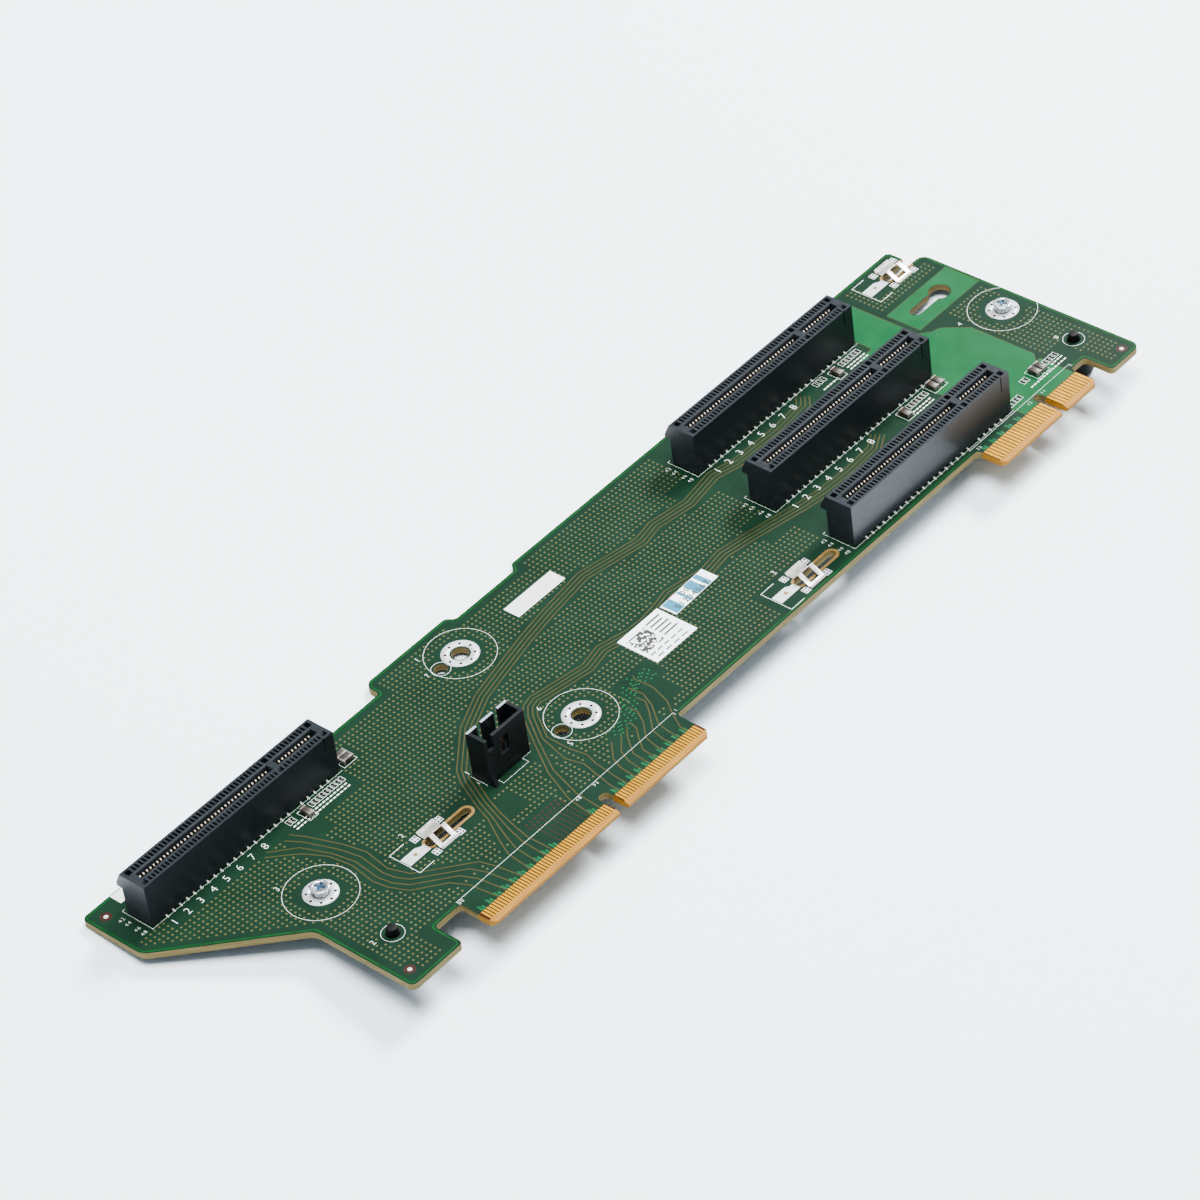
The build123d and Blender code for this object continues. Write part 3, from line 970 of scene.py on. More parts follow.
def round_corners(piece: Piece, places: Sequence[Point], radius: float, segments: int = 8) -> None:
    """Rounds upright corners of a plate.

    Args:
        piece: The plate.
        places: Where the corners are, in millimetres.
        radius: Radius of the rounding, in millimetres.
        segments: Number of faces across it.
    """
    take_up(piece)
    bpy.ops.object.mode_set(mode="EDIT")
    bpy.ops.mesh.select_mode(type="EDGE")
    bpy.ops.mesh.select_all(action="DESELECT")
    mesh = bmesh.from_edit_mesh(piece.data)
    for edge in mesh.edges:
        a, b = (vertex.co / MM for vertex in edge.verts)
        upright = math.dist(a.xy, b.xy) < PLUMB_WITHIN and abs(a.z - b.z) > BOARD_THICKNESS / 2
        edge.select_set(upright and any(math.dist(a.xy, place) < CORNER_WITHIN for place in places))
    bmesh.update_edit_mesh(piece.data)
    bpy.ops.mesh.bevel(offset=radius * MM, segments=segments, affect="EDGES")
    leave_edit()


def rounded(path: Sequence[Point], radius: float, steps: int = 6) -> tuple[Point, ...]:
    """Rounds the corners of an open path.

    Args:
        path: The path's corners.
        radius: Radius of the roundings; short runs get smaller ones.
        steps: Number of straight steps in each.

    Returns:
        The path's points.
    """
    points = [path[0]]
    for before, corner, after in zip(path, path[1:], path[2:]):
        knot, back, ahead = Vector(corner), Vector(before) - Vector(corner), Vector(after) - Vector(corner)
        half = (math.pi - back.angle(ahead)) / 2
        cut = min(radius * math.tan(half), RUN_SHARE * back.length, RUN_SHARE * ahead.length)
        start, end = knot + back.normalized() * cut, knot + ahead.normalized() * cut
        for i in range(steps + 1):
            t = i / steps
            points.append(tuple(start * (1 - t) ** 2 + knot * 2 * t * (1 - t) + end * t ** 2))
    return (*points, path[-1])


def face_up(sheet: Piece) -> Piece:
    """Turns the faces of a flat sheet so that all point up.

    Args:
        sheet: A mesh whose faces are all level.

    Returns:
        The same sheet.
    """
    pick_faces(sheet, lambda centre, normal: normal.z < 0)
    bpy.ops.mesh.flip_normals()
    leave_edit()
    return sheet


def print_fields(name: str, outlines: Sequence[Sequence[Point]], height: float) -> Piece:
    """Fills closed outlines as one flat mesh; an outline within another is a hole.

    Args:
        name: The mesh's name.
        outlines: Corners of each field, in millimetres.
        height: Z of the mesh.

    Returns:
        The mesh, facing up.
    """
    curve = bpy.data.curves.new(name, "CURVE")
    curve.dimensions = "2D"
    curve.fill_mode = "BOTH"
    for outline in outlines:
        add_line(curve, outline, True)
    return face_up(mesh_from_curve(name, curve, height))


def print_digits(name: str, marks: Sequence[Mark], height: float,
                 weight: float = -0.028) -> Piece:
    """Prints plain numbers on the board.

    Args:
        name: The mesh's name.
        marks: Digits, X and Y of their lower left corner, and their height, in millimetres.
        height: Z of the print.
        weight: How much bolder than the font's own the lines are, as a share of the digits' height.

    Returns:
        The mesh, facing up.
    """
    sheets = []
    for digits, x, y, size in marks:
        leave_edit()
        bpy.ops.object.text_add(location=(x * MM, y * MM, height * MM))
        text = bpy.context.object
        text.data.body = digits
        text.data.size = size * FONT_SIZE * MM
        text.data.space_character = DIGIT_SPACING
        text.data.offset = weight * size * MM
        text.data.resolution_u = 2
        bpy.ops.object.convert(target="MESH")
        sheets.append(set_down(bpy.context.object))
    return face_up(join_pieces(name, sheets))


class Layer(Enum):
    """Height above the board of each thing printed or plated on it, in millimetres."""

    STITCH = 0.008
    FIELD = 0.012
    TRACE = 0.016
    EDGE = 0.02
    PAD = 0.03
    INK = 0.036
    OVER = 0.042


def bundle(path: Sequence[Point], count: int, gap: float, width: float) -> list[Stroke]:
    """Traces that run side by side along one path.

    Args:
        path: Corners of the leftmost trace, seen along its direction.
        count: Number of traces.
        gap: Distance from one trace to the next, in millimetres.
        width: Width of each trace.

    Returns:
        One stroke for each trace, each to the right of the last.
    """
    knots = [Vector(point) for point in path]
    rights = []
    for i, knot in enumerate(knots):
        before = (knot - knots[i - 1]).normalized() if i else (knots[1] - knot).normalized()
        after = (knots[i + 1] - knot).normalized() if i + 1 < len(knots) else before
        ahead = (before + after).normalized()
        rights.append(Vector((ahead.y, -ahead.x)) / max(BEND_LIMIT, ahead.dot(after)))
    return [
        Stroke(tuple(tuple(knot + right * gap * i) for knot, right in zip(knots, rights)), width)
        for i in range(count)
    ]


def point_to_run(point: Vector, start: Vector, end: Vector) -> float:
    """Distance from a point to a straight run, all in the board's plane.

    Args:
        point: The point.
        start: Where the run starts.
        end: Where it ends.

    Returns:
        The distance to the run's nearest point.
    """
    run = end - start
    share = max(0.0, min(1.0, (point - start).dot(run) / run.length_squared))
    return (point - start - run * share).length


@dataclass
class BoardSurface:
    """The bare board with its mask, edge line, ground copper, traces and stitching dots.

    Routes, paths and fields are corners in X and Y. A recess is given by its lower and upper X and the Y
    of its edge, a place to keep out of by its lower and upper X and its lower and upper Y, a clear ring
    by its centre and radius, a gap in the stubs by its lower and upper X, and a stub by how far it stands
    aside and how long it is. A row of feed rings is its first centre and their count.
    """

    pitch: float = 1.27
    dot_radius: float = 0.28
    dot_sides: int = 7
    edge_width: float = 0.36
    edge_bend: float = 1.2
    border_width: float = 0.16
    trace_width: float = 0.3
    trace_gap: float = 1.0
    clearance: float = 0.75
    left_edge: float = -104.45
    right_edge: float = 164.8
    far_edge: float = 44.95
    near_edge: float = -24.6
    wing_end: float = -79.5
    slant: float = -77.0
    slant_margin: float = 1.6
    edge_margin: float = 1.9
    near_recess: Triple = (-64.55, 154.15, -16.8)
    far_recesses: tuple[Triple, ...] = ((-38.9, -19.3, 40.4), (6.4, 28.2, 42.9))
    keyhole_place: Point = (155.9, 25.6)
    keyhole_head: float = 2.7
    keyhole_neck: float = 1.5
    keyhole_reach: float = 8.9
    stub_width: float = 0.55
    stub_runs: tuple[Point, ...] = ((0.0, 1.7), (0.75, 1.15))
    stub_lead: float = 0.35
    stub_lift: float = 0.1
    stub_steps: tuple[tuple[str, float], ...] = (("main_edge_fingers", 2.44), ("aux_edge_fingers", 3.0))
    feed_start: Point = (-31.3, -14.4)
    feed_foot: float = -21.6
    feed_pitch: float = 1.25
    feed_width: float = 0.16
    feed_count: int = 8
    feed_rings: tuple[tuple[float, float, int], ...] = ((-31.9, -12.8, 8), (-32.3, -14.0, 9))
    feed_ring_radius: float = 0.16
    feed_ring_width: float = 0.3
    via_radius: float = 0.26
    via_step: float = 0.3
    via_spread: float = 0.75
    left_routes: tuple[tuple[Point, ...], ...] = (
        ((-69.8, 26.0), (-66.0, 22.0), (-64.4, 20.1), (-61.9, 15.1), (-61.1, 9.5), (-62.1, 2.6),
         (-61.6, -1.1), (-59.8, -5.5), (-53.5, -10.8), (-51.6, -14.6), (-50.7, -21.9)),
        ((-68.5, 26.7), (-63.5, 22.0), (-60.9, 15.1), (-59.9, 9.5), (-60.7, 2.6), (-60.2, -1.1),
         (-58.5, -4.5), (-50.8, -11.1), (-49.2, -14.9), (-48.3, -21.9)),
        ((-63.8, 26.0), (-61.9, 22.6), (-59.3, 15.1), (-58.2, 9.5), (-59.1, 2.6), (-58.6, -0.6),
         (-57.3, -3.4), (-48.1, -11.5), (-46.8, -15.2), (-45.9, -21.9)),
        ((-61.9, 26.4), (-60.4, 23.3), (-57.6, 15.1), (-56.5, 9.5), (-57.6, 2.6), (-56.0, -2.4),
         (-45.4, -11.8), (-44.4, -15.5), (-43.5, -21.9)),
    )
    far_bundle: tuple[Point, ...] = (
        (-35.0, -4.9), (-33.4, -0.2), (-30.0, 7.3), (-27.8, 10.4), (-20.0, 16.6), (-17.5, 18.6), (-8.1, 22.9),
        (0.0, 24.8), (11.3, 27.3), (20.6, 28.9), (34.0, 30.6), (50.0, 27.5), (55.6, 28.6), (65.6, 27.0),
        (76.0, 28.6), (82.5, 26.9), (96.0, 26.4), (105.5, 27.2), (107.5, 29.0),
    )
    far_ends: tuple[tuple[Point, ...], ...] = (
        ((-38.4, -11.1), (-40.3, -15.2), (-41.1, -21.9)),
        ((-36.6, -11.1), (-38.1, -15.2), (-38.7, -21.9)),
        ((-34.9, -11.1), (-35.9, -15.2), (-36.3, -21.9)),
        ((-33.5, -11.1), (-34.3, -15.2), (-34.2, -21.9)),
    )
    near_bundle: tuple[Point, ...] = (
        (-11.9, 3.0), (-7.6, 9.6), (-5.0, 12.0), (-1.9, 12.8), (0.0, 12.3), (11.9, 10.1), (18.1, 11.4),
        (25.6, 9.5), (30.0, 9.2), (35.0, 9.8), (40.0, 10.9), (50.0, 8.9), (56.6, 9.8), (65.0, 8.3),
        (74.4, 6.3), (79.4, 5.2), (85.6, 4.3), (93.8, 3.9), (102.5, 4.4), (106.5, 6.6),
    )
    near_ends: tuple[tuple[Point, ...], ...] = (
        ((-17.5, -6.1), (-21.0, -15.0), (-21.9, -21.9)),
        ((-16.2, -6.3), (-18.8, -15.0), (-19.3, -21.9)),
        ((-12.2, -6.1), (-11.2, -10.5), (-13.0, -19.2), (-13.2, -21.9)),
        ((-9.4, -4.9), (-8.7, -9.3), (-9.7, -12.4), (-10.5, -19.2), (-10.6, -21.9)),
    )
    fan_routes: tuple[tuple[Point, ...], ...] = (
        ((15.3, -1.1), (14.7, -2.4), (15.0, -5.8), (14.9, -7.4), (13.4, -12.4), (11.25, -15.5), (8.75, -19.9),
         (8.6, -21.75)),
        ((11.9, -2.7), (12.2, -6.75), (10.6, -10.5), (6.9, -15.5), (6.3, -19.0), (6.25, -21.75)),
        ((10.5, -6.1), (10.75, -8.6), (8.75, -11.4), (4.7, -15.8), (3.9, -19.25), (3.9, -21.75)),
        ((7.2, -6.75), (7.4, -9.25), (5.6, -12.4), (2.2, -16.1), (1.4, -19.25), (1.25, -21.75)),
        ((3.75, -9.9), (3.4, -12.4), (1.25, -14.9), (-1.0, -18.0), (-1.2, -21.75)),
        ((2.5, -10.5), (0.0, -12.9), (-3.0, -17.0), (-3.4, -21.75)),
        ((0.0, -11.1), (-4.0, -14.6), (-5.2, -17.4), (-5.75, -21.75)),
        ((-3.0, -11.0), (-6.5, -14.5), (-7.7, -17.4), (-8.1, -21.75)),
    )
    copper_fields: tuple[tuple[Point, ...], ...] = (
        ((130.6, 44.3), (130.6, 25.5), (126.0, 25.5), (126.0, 24.2), (130.6, 21.0), (130.6, 7.5),
         (126.0, 7.0), (126.0, -1.5), (130.6, -4.0), (130.6, -18.1), (135.6, -18.1), (135.6, -16.9),
         (136.2, -15.9), (136.95, -15.65), (137.7, -15.9), (138.3, -16.9), (138.3, -18.1), (148.6, -18.1),
         (148.6, -8.6), (147.2, -8.6), (149.2, -6.5), (149.2, 11.2), (145.6, 16.6), (144.6, 17.4),
         (143.0, 17.8), (140.6, 20.2), (140.6, 44.3)),
        ((142.0, 20.4), (164.0, 20.4), (164.0, 30.2), (142.0, 30.2)),
    )
    keep_out: tuple[tuple[float, float, float, float], ...] = (
        (-104.0, -39.0, 30.0, 45.0), (-95.0, -55.6, 26.8, 30.0), (-61.0, -42.0, 24.6, 30.5),
        (-40.8, -35.6, 30.2, 36.0), (-29.0, -13.5, -1.2, 8.0), (-50.8, -34.0, -3.6, 4.4),
        (-55.6, -50.8, -1.8, 2.0), (-58.0, 12.0, -27.0, -15.4), (-68.0, -56.0, -25.0, -15.6),
        (12.0, 116.0, -17.0, -14.6), (49.0, 74.0, -16.5, -6.3), (72.6, 131.0, -15.6, 45.0),
        (130.0, 149.8, -18.0, 31.2), (130.0, 142.5, 31.0, 45.0), (149.0, 155.5, -17.5, -8.8),
        (141.0, 161.8, 19.2, 31.4), (161.0, 165.0, 19.2, 31.4), (147.0, 165.0, 35.2, 45.0),
        (113.0, 154.6, -25.0, -15.0), (65.0, 73.0, 23.0, 31.4), (64.5, 73.0, 1.6, 10.4),
        (-32.5, -25.8, -9.2, -2.8), (-64.0, -54.0, 20.0, 26.0), (-2.0, 4.0, -13.0, -9.2),
        (3.5, 18.0, -13.0, -6.6), (9.0, 20.5, -6.7, 0.4), (-34.0, -22.0, -15.5, -11.6),
    )
    corner_radii: tuple[tuple[float, tuple[Point, ...]], ...] = (
        (2.2, ((164.8, 37.68), (164.8, -24.7))),
        (1.5, ((-104.45, 27.45), (-79.5, 2.5), (-79.5, -24.6), (-104.45, 44.95))),
        (1.0, ((-64.55, -24.6), (-64.55, -16.8), (-56.85, -16.8), (154.15, -24.7), (154.15, -16.8),
               (149.1, -16.8))),
        (0.9, ((-38.9, 40.4), (-19.3, 40.4), (-38.9, 44.95), (161.0, 39.92))),
        (0.7, ((-19.3, 43.55), (-17.9, 44.95), (6.4, 44.95), (7.8, 42.9), (26.8, 42.9), (28.2, 44.95))),
    )
    edge_paths: tuple[tuple[Point, ...], ...] = (
        ((12.6, -16.25), (113.4, -16.25)),
        ((149.8, -16.25), (154.7, -16.25), (154.7, -24.15), (164.25, -24.15), (164.25, 37.1), (161.2, 37.1)),
        ((160.45, 40.6), (160.45, 44.4), (28.49, 44.4), (27.09, 42.35), (7.51, 42.35), (6.11, 44.4),
         (-17.67, 44.4), (-18.75, 43.32), (-18.75, 39.85), (-39.45, 39.85), (-39.45, 44.4), (-103.9, 44.4),
         (-103.9, 27.68), (-78.95, 2.73), (-78.95, -24.05), (-65.1, -24.05), (-65.1, -16.25),
         (-57.4, -16.25)),
    )
    via_band: tuple[Point, ...] = ((-1.0, -10.4), (4.6, -9.2), (9.6, -5.6), (12.8, -2.6), (19.0, -4.0))
    stub_gaps: tuple[Point, ...] = ((-19.2, -14.4), (-33.0, -22.5), (129.0, 152.0))
    clear_rings: tuple[Triple, ...] = (
        (0.0, 0.0, 5.5), (0.0, 34.5, 5.5), (-6.2, 0.0, 3.0), (-6.1, 34.6, 3.0), (-70.6, 9.2, 5.5),
        (158.4, 9.4, 5.5), (-70.7, -11.0, 3.3), (158.3, -10.85, 3.3), (-101.0, 41.2, 2.2),
        (-76.3, -20.8, 2.2), (161.3, -22.0, 2.2),
    )

    def build(self) -> None:
        """Dresses the board and lays everything under its mask."""
        self.bare_board()
        self.edge_line()
        routes = self.traces()
        self.stitching(routes)
        fields = (*self.copper_fields, self.keyhole())
        lay_up(print_fields("ground_copper", fields, Layer.FIELD.value), GROUND_COPPER)
        self.finger_feeds()
        self.via_cluster()

    def bare_board(self) -> None:
        """Rounds the corners of the board's outline as a router leaves them."""
        board = copy_of_node("circuit_board", "board_with_rounded_corners")
        for radius, places in self.corner_radii:
            round_corners(board, places, radius)
        lay_up(board, BoardFinish(), "circuit_board")

    def traces(self) -> list[Stroke]:
        """Lays the traces.

        Returns:
            Their strokes, so that the stitching keeps clear of them.
        """
        routes = [Stroke(route, self.trace_width) for route in self.left_routes + self.fan_routes]
        for path, ends in ((self.far_bundle, self.far_ends), (self.near_bundle, self.near_ends)):
            for lane, end in zip(bundle(path, len(ends), self.trace_gap, self.trace_width), ends):
                routes.append(Stroke(tuple(reversed(end)) + lane.points, self.trace_width))
        lay_up(print_strokes("copper_traces", routes, Layer.TRACE.value), TRACE)
        return routes

    def stitching(self, routes: Sequence[Stroke]) -> None:
        """Covers the open ground with small dots in a square grid, clear of all else.

        Args:
            routes: The traces to keep clear of.
        """
        low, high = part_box("circuit_board")
        columns = int((high.x - low.x) / MM / self.pitch) - 1
        rows = int((high.y - low.y) / MM / self.pitch) - 1
        start = (low.x / MM + self.pitch, low.y / MM + self.pitch)
        dots = add_disc("ground_stitching", self.dot_radius, start, Layer.STITCH.value, self.dot_sides)
        repeat(dots, columns, (self.pitch, 0, 0))
        repeat(dots, rows, (0, self.pitch, 0))
        runs = [(Vector(a), Vector(b)) for route in routes for a, b in zip(route.points, route.points[1:])]
        pick_faces(dots, lambda centre, normal: not self.is_open(centre.to_2d() / MM, runs))
        bpy.ops.mesh.delete(type="FACE")
        lay_up(face_up(dots), STITCH)

    def is_open(self, spot: Vector, runs: Sequence[tuple[Vector, Vector]]) -> bool:
        """Says whether a dot may lie at a spot of the board.

        Args:
            spot: The spot, in millimetres.
            runs: Start and end of every straight run of the traces.

        Returns:
            Whether nothing else is there.
        """
        x, y = spot
        if not self.on_board(x, y):
            return False
        if any(x0 < x < x1 and y0 < y < y1 for x0, x1, y0, y1 in self.keep_out):
            return False
        if any(math.dist((x, y), (cx, cy)) < radius for cx, cy, radius in self.clear_rings):
            return False
        near = self.clearance + self.trace_width / 2
        return all(point_to_run(spot, a, b) > near for a, b in runs)

    def on_board(self, x: float, y: float) -> bool:
        """Says whether a spot is well inside the board's outline.

        Args:
            x: X of the spot, in millimetres.
            y: Its Y.

        Returns:
            Whether every edge is further off than the margin.
        """
        margin = self.edge_margin
        if x < self.wing_end + margin:
            past_slant = x + y > self.slant + margin * self.slant_margin
            return x > self.left_edge + margin and past_slant and y < self.far_edge - margin
        far = self.far_edge
        for low, high, edge in self.far_recesses:
            if low - margin < x < high + margin:
                far = edge
        low, high, edge = self.near_recess
        near = edge if low - margin <= x <= high + margin else self.near_edge
        return near + margin < y < far - margin and x < self.right_edge - margin

    def keyhole(self) -> tuple[Point, ...]:
        """Outline of the keyhole, which the copper field leaves free.

        Returns:
            Its points: the round head, then the neck's round end.
        """
        x, y = self.keyhole_place
        steps = 24
        opening = math.degrees(math.asin(self.keyhole_neck / self.keyhole_head))
        turn = [math.radians(opening - 180 + (360 - 2 * opening) * i / steps) for i in range(steps + 1)]
        head = arc_points((x, y), self.keyhole_head, turn)
        neck = arc_points((x - self.keyhole_reach, y), self.keyhole_neck, half_turn(90))
        return (*head, *neck)

    def finger_feeds(self) -> None:
        """Lays the short green stubs above the fingers and the fine feeds at the main tongue's middle."""
        stubs = []
        for x, top in self.stub_places():
            for shift, reach in self.stub_runs:
                stubs.append(Stroke(((x + shift, top), (x + shift, top + reach)), self.stub_width))
        lay_up(print_strokes("finger_stubs", stubs, Layer.FIELD.value), VIA_GREEN)
        start, top = self.feed_start
        columns = [start + self.feed_pitch * i for i in range(self.feed_count)]
        feeds = [Stroke(((x, top), (x, self.feed_foot)), self.feed_width) for x in columns]
        for x, y, count in self.feed_rings:
            spots = [(x + self.pitch * i, y) for i in range(count)]
            feeds += [ring(spot, self.feed_ring_radius, self.feed_ring_width, sides=8) for spot in spots]
        lay_up(print_strokes("fine_feeds", feeds, Layer.FIELD.value), RED_COPPER)

    def stub_places(self) -> list[Point]:
        """Where the green stubs start: between the traces and above the fingers.

        Returns:
            The lower end of each pair's first stub, clear of the gaps.
        """
        spots = []
        for node, step in self.stub_steps:
            low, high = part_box(node)
            count = int((high.x - low.x) / MM / step)
            start, top = low.x / MM, high.y / MM + self.stub_lift
            spots += [(start + step * (i + self.stub_lead), top) for i in range(count)]
        return [spot for spot in spots if all(not low < spot[0] < high for low, high in self.stub_gaps)]

    def edge_line(self) -> None:
        """Lays the bright line of mask that follows the board's outline."""
        strokes = [Stroke(rounded(path, self.edge_bend), self.edge_width) for path in self.edge_paths]
        lay_up(print_strokes("mask_edge_line", strokes, Layer.EDGE.value), MASK_EDGE)
        borders = [Stroke(field, self.border_width, True) for field in self.copper_fields]
        lay_up(print_strokes("copper_borders", borders, Layer.TRACE.value), TRACE)

    def via_cluster(self) -> None:
        """Scatters the small green vias where the near traces change layer, along a bent band."""
        spots = []
        knots = [Vector(point) for point in self.via_band]
        for start, end in zip(knots, knots[1:]):
            ahead = (end - start).normalized()
            steps = int((end - start).length / self.via_step)
            for i in range(steps):
                # Leaps between five lanes, each a little off its line, so that no order shows.
                lane = (i * 7) % 5 - 2 + 0.3 * (i % 3)
                aside = Vector((-ahead.y, ahead.x)) * self.via_spread * lane
                spots.append(start.lerp(end, i / steps) + aside)
        lay_up(print_discs("green_vias", self.via_radius, spots, Layer.TRACE.value, sides=8), VIA_GREEN)


@dataclass(frozen=True)
class MountingHole:
    """A hole of the board with its tinned ring, vias and printed circles."""

    place: Point
    pad_inner: float
    via_ring: float
    pad_outer: float
    pad_height: float = 0.02
    circle: float = 8.05
    circle_start: float = 0.0
    circle_turn: float = 360.0
    vias: int = 8
    via_radius: float = 0.36

    def build(self, name: str) -> None:
        """Lays the pad, and its vias as dark discs of painted shade.

        Args:
            name: First part of the pieces' names.
        """
        middle = (self.pad_inner + self.pad_outer) / 2
        strokes = [ring(self.place, middle, self.pad_outer - self.pad_inner)]
        pad = print_strokes(name + "_pad", strokes, Layer.PAD.value)
        apply_modifier(pad, "SOLIDIFY", thickness=self.pad_height * MM, offset=-1)
        lay_up(pad, TIN)
        angles = [math.radians(360 * i / self.vias) for i in range(self.vias)]
        spots = arc_points(self.place, self.via_ring, angles)
        lay_up(print_discs(name + "_vias", self.via_radius, spots, Layer.OVER.value, sides=12), PAINTED_HOLE_SHADE)

    def printed_circle(self) -> Stroke:
        """The white circle round the hole."""
        return ring(self.place, self.circle, WHITE_LINE, 96, self.circle_start, self.circle_turn)


MOUNTING_HOLES = {
    "near_hole": MountingHole((0.0, 0.0), pad_inner=2.33, via_ring=3.24, pad_outer=4.29),
    "far_hole": MountingHole((0.0, 34.5), pad_inner=2.33, via_ring=3.24, pad_outer=4.29),
    "left_screw": MountingHole((-70.6, 9.2), pad_inner=1.8, via_ring=3.05, pad_outer=3.87),
    "right_screw": MountingHole((158.4, 9.4), pad_inner=1.8, via_ring=3.05, pad_outer=3.87,
                                circle_start=40.0, circle_turn=280.0),
}


@dataclass
class Silkscreen:
    """White print on the board: circles, outlines, plain numbers and marking fields.

    A connector's line is given by its start and end in X and by its Y, a ring by its centre and radius, a
    marking field by two corners, and a number by its digits, their lower left corner and their height.
    """

    line: float = WHITE_LINE
    connector_lines: tuple[Triple, ...] = ((-57.0, 11.2, -15.85), (113.6, 150.3, -15.45))
    connector_hook: float = 0.9
    small_rings: tuple[Triple, ...] = (
        (-6.2, 0.0, 2.2), (-6.1, 34.6, 2.2), (-70.7, -11.0, 2.5), (158.3, -10.85, 2.5),
    )
    header_lines: tuple[tuple[Point, ...], ...] = (
        ((-27.5, 6.6), (-27.5, 1.8)),
        ((-25.0, 1.2), (-25.0, -0.4), (-17.2, -0.4), (-17.2, 1.4), (-14.6, 1.4)),
    )
    marking_fields: tuple[tuple[Point, Point], ...] = (
        ((-96.4, 41.4), (-93.2, 44.7)), ((15.9, 31.7), (31.2, 36.2)),
    )
    aiming_marks: tuple[Point, ...] = ((-101.0, 41.2), (-76.3, -20.8), (161.3, -22.0))
    aiming_dot: float = 0.5
    aiming_ring: float = 0.95
    aiming_ring_width: float = 0.7
    numbers: tuple[Mark, ...] = (
        ("3", -75.6, 16.7, 1.6), ("2", -75.6, -10.2, 1.5), ("1", -7.4, 40.2, 1.6), ("7", -9.8, 35.0, 1.4),
        ("6", -4.2, 8.0, 1.5), ("5", -8.6, -4.7, 1.5), ("4", 148.2, 13.6, 1.4), ("8", 156.2, -7.8, 1.4),
        ("2", -49.4, 6.1, 1.4), ("3", 57.2, -5.9, 1.6), ("1", -27.6, 7.4, 1.4), ("1", -28.4, 3.6, 1.0),
        ("80", -57.0, -16.9, 1.0), ("48", -20.6, -16.9, 1.0), ("32", -15.2, -16.9, 1.0),
        ("1", 11.9, -16.2, 0.9), ("32", 115.0, -16.9, 0.9), ("12", 133.6, -16.9, 0.9),
        ("11", 138.6, -16.9, 0.9),
    )

    def build(self) -> None:
        """Prints everything that isn't part of a slot or clip."""
        strokes = []
        for start, end, y in self.connector_lines:
            strokes.append(Stroke(((start, y), (end, y), (end, y - self.connector_hook)), self.line))
        strokes += [ring((x, y), radius, self.line, sides=48) for x, y, radius in self.small_rings]
        strokes += [hole.printed_circle() for hole in MOUNTING_HOLES.values()]
        strokes += [Stroke(path, self.line) for path in self.header_lines]
        lay_up(print_strokes("white_lines", strokes, Layer.INK.value), INK)
        fields = [rectangle(low, high) for low, high in self.marking_fields]
        lay_up(print_fields("marking_fields", fields, Layer.INK.value), INK)
        lay_up(print_digits("board_numbers", self.numbers, Layer.INK.value), INK)
        self.fiducials()

    def fiducials(self) -> None:
        """The round aiming marks near three corners: a tinned dot in a bare ring."""
        width = self.aiming_ring_width
        bare = [ring(place, self.aiming_ring, width, sides=24) for place in self.aiming_marks]
        lay_up(print_strokes("aiming_rings", bare, Layer.FIELD.value), RED_COPPER)
        dots = print_discs("aiming_dots", self.aiming_dot, self.aiming_marks, Layer.PAD.value, sides=20)
        lay_up(dots, SOLDER)


@dataclass(frozen=True)
class SolderCone:
    """Solder round a pin's end below the board, with the pin's tip in it."""

    radius: float
    tip_share: float
    sides: int
    height: float = 0.35
    length: float = 0.7

    def build(self, name: str, place: Point) -> Piece:
        """Models one cone.

        Args:
            name: The piece's name.
            place: X and Y of the pin.

        Returns:
            The cone.
        """
        top = -BOARD_THICKNESS
        cone = add_drum(name, self.radius, top - self.height, top, place, self.sides)
        pick_faces(cone, looks_down)
        bpy.ops.transform.resize(value=(self.tip_share, self.tip_share, 1))
        draw_out(0, 0, self.height - self.length)
        leave_edit()
        return cone


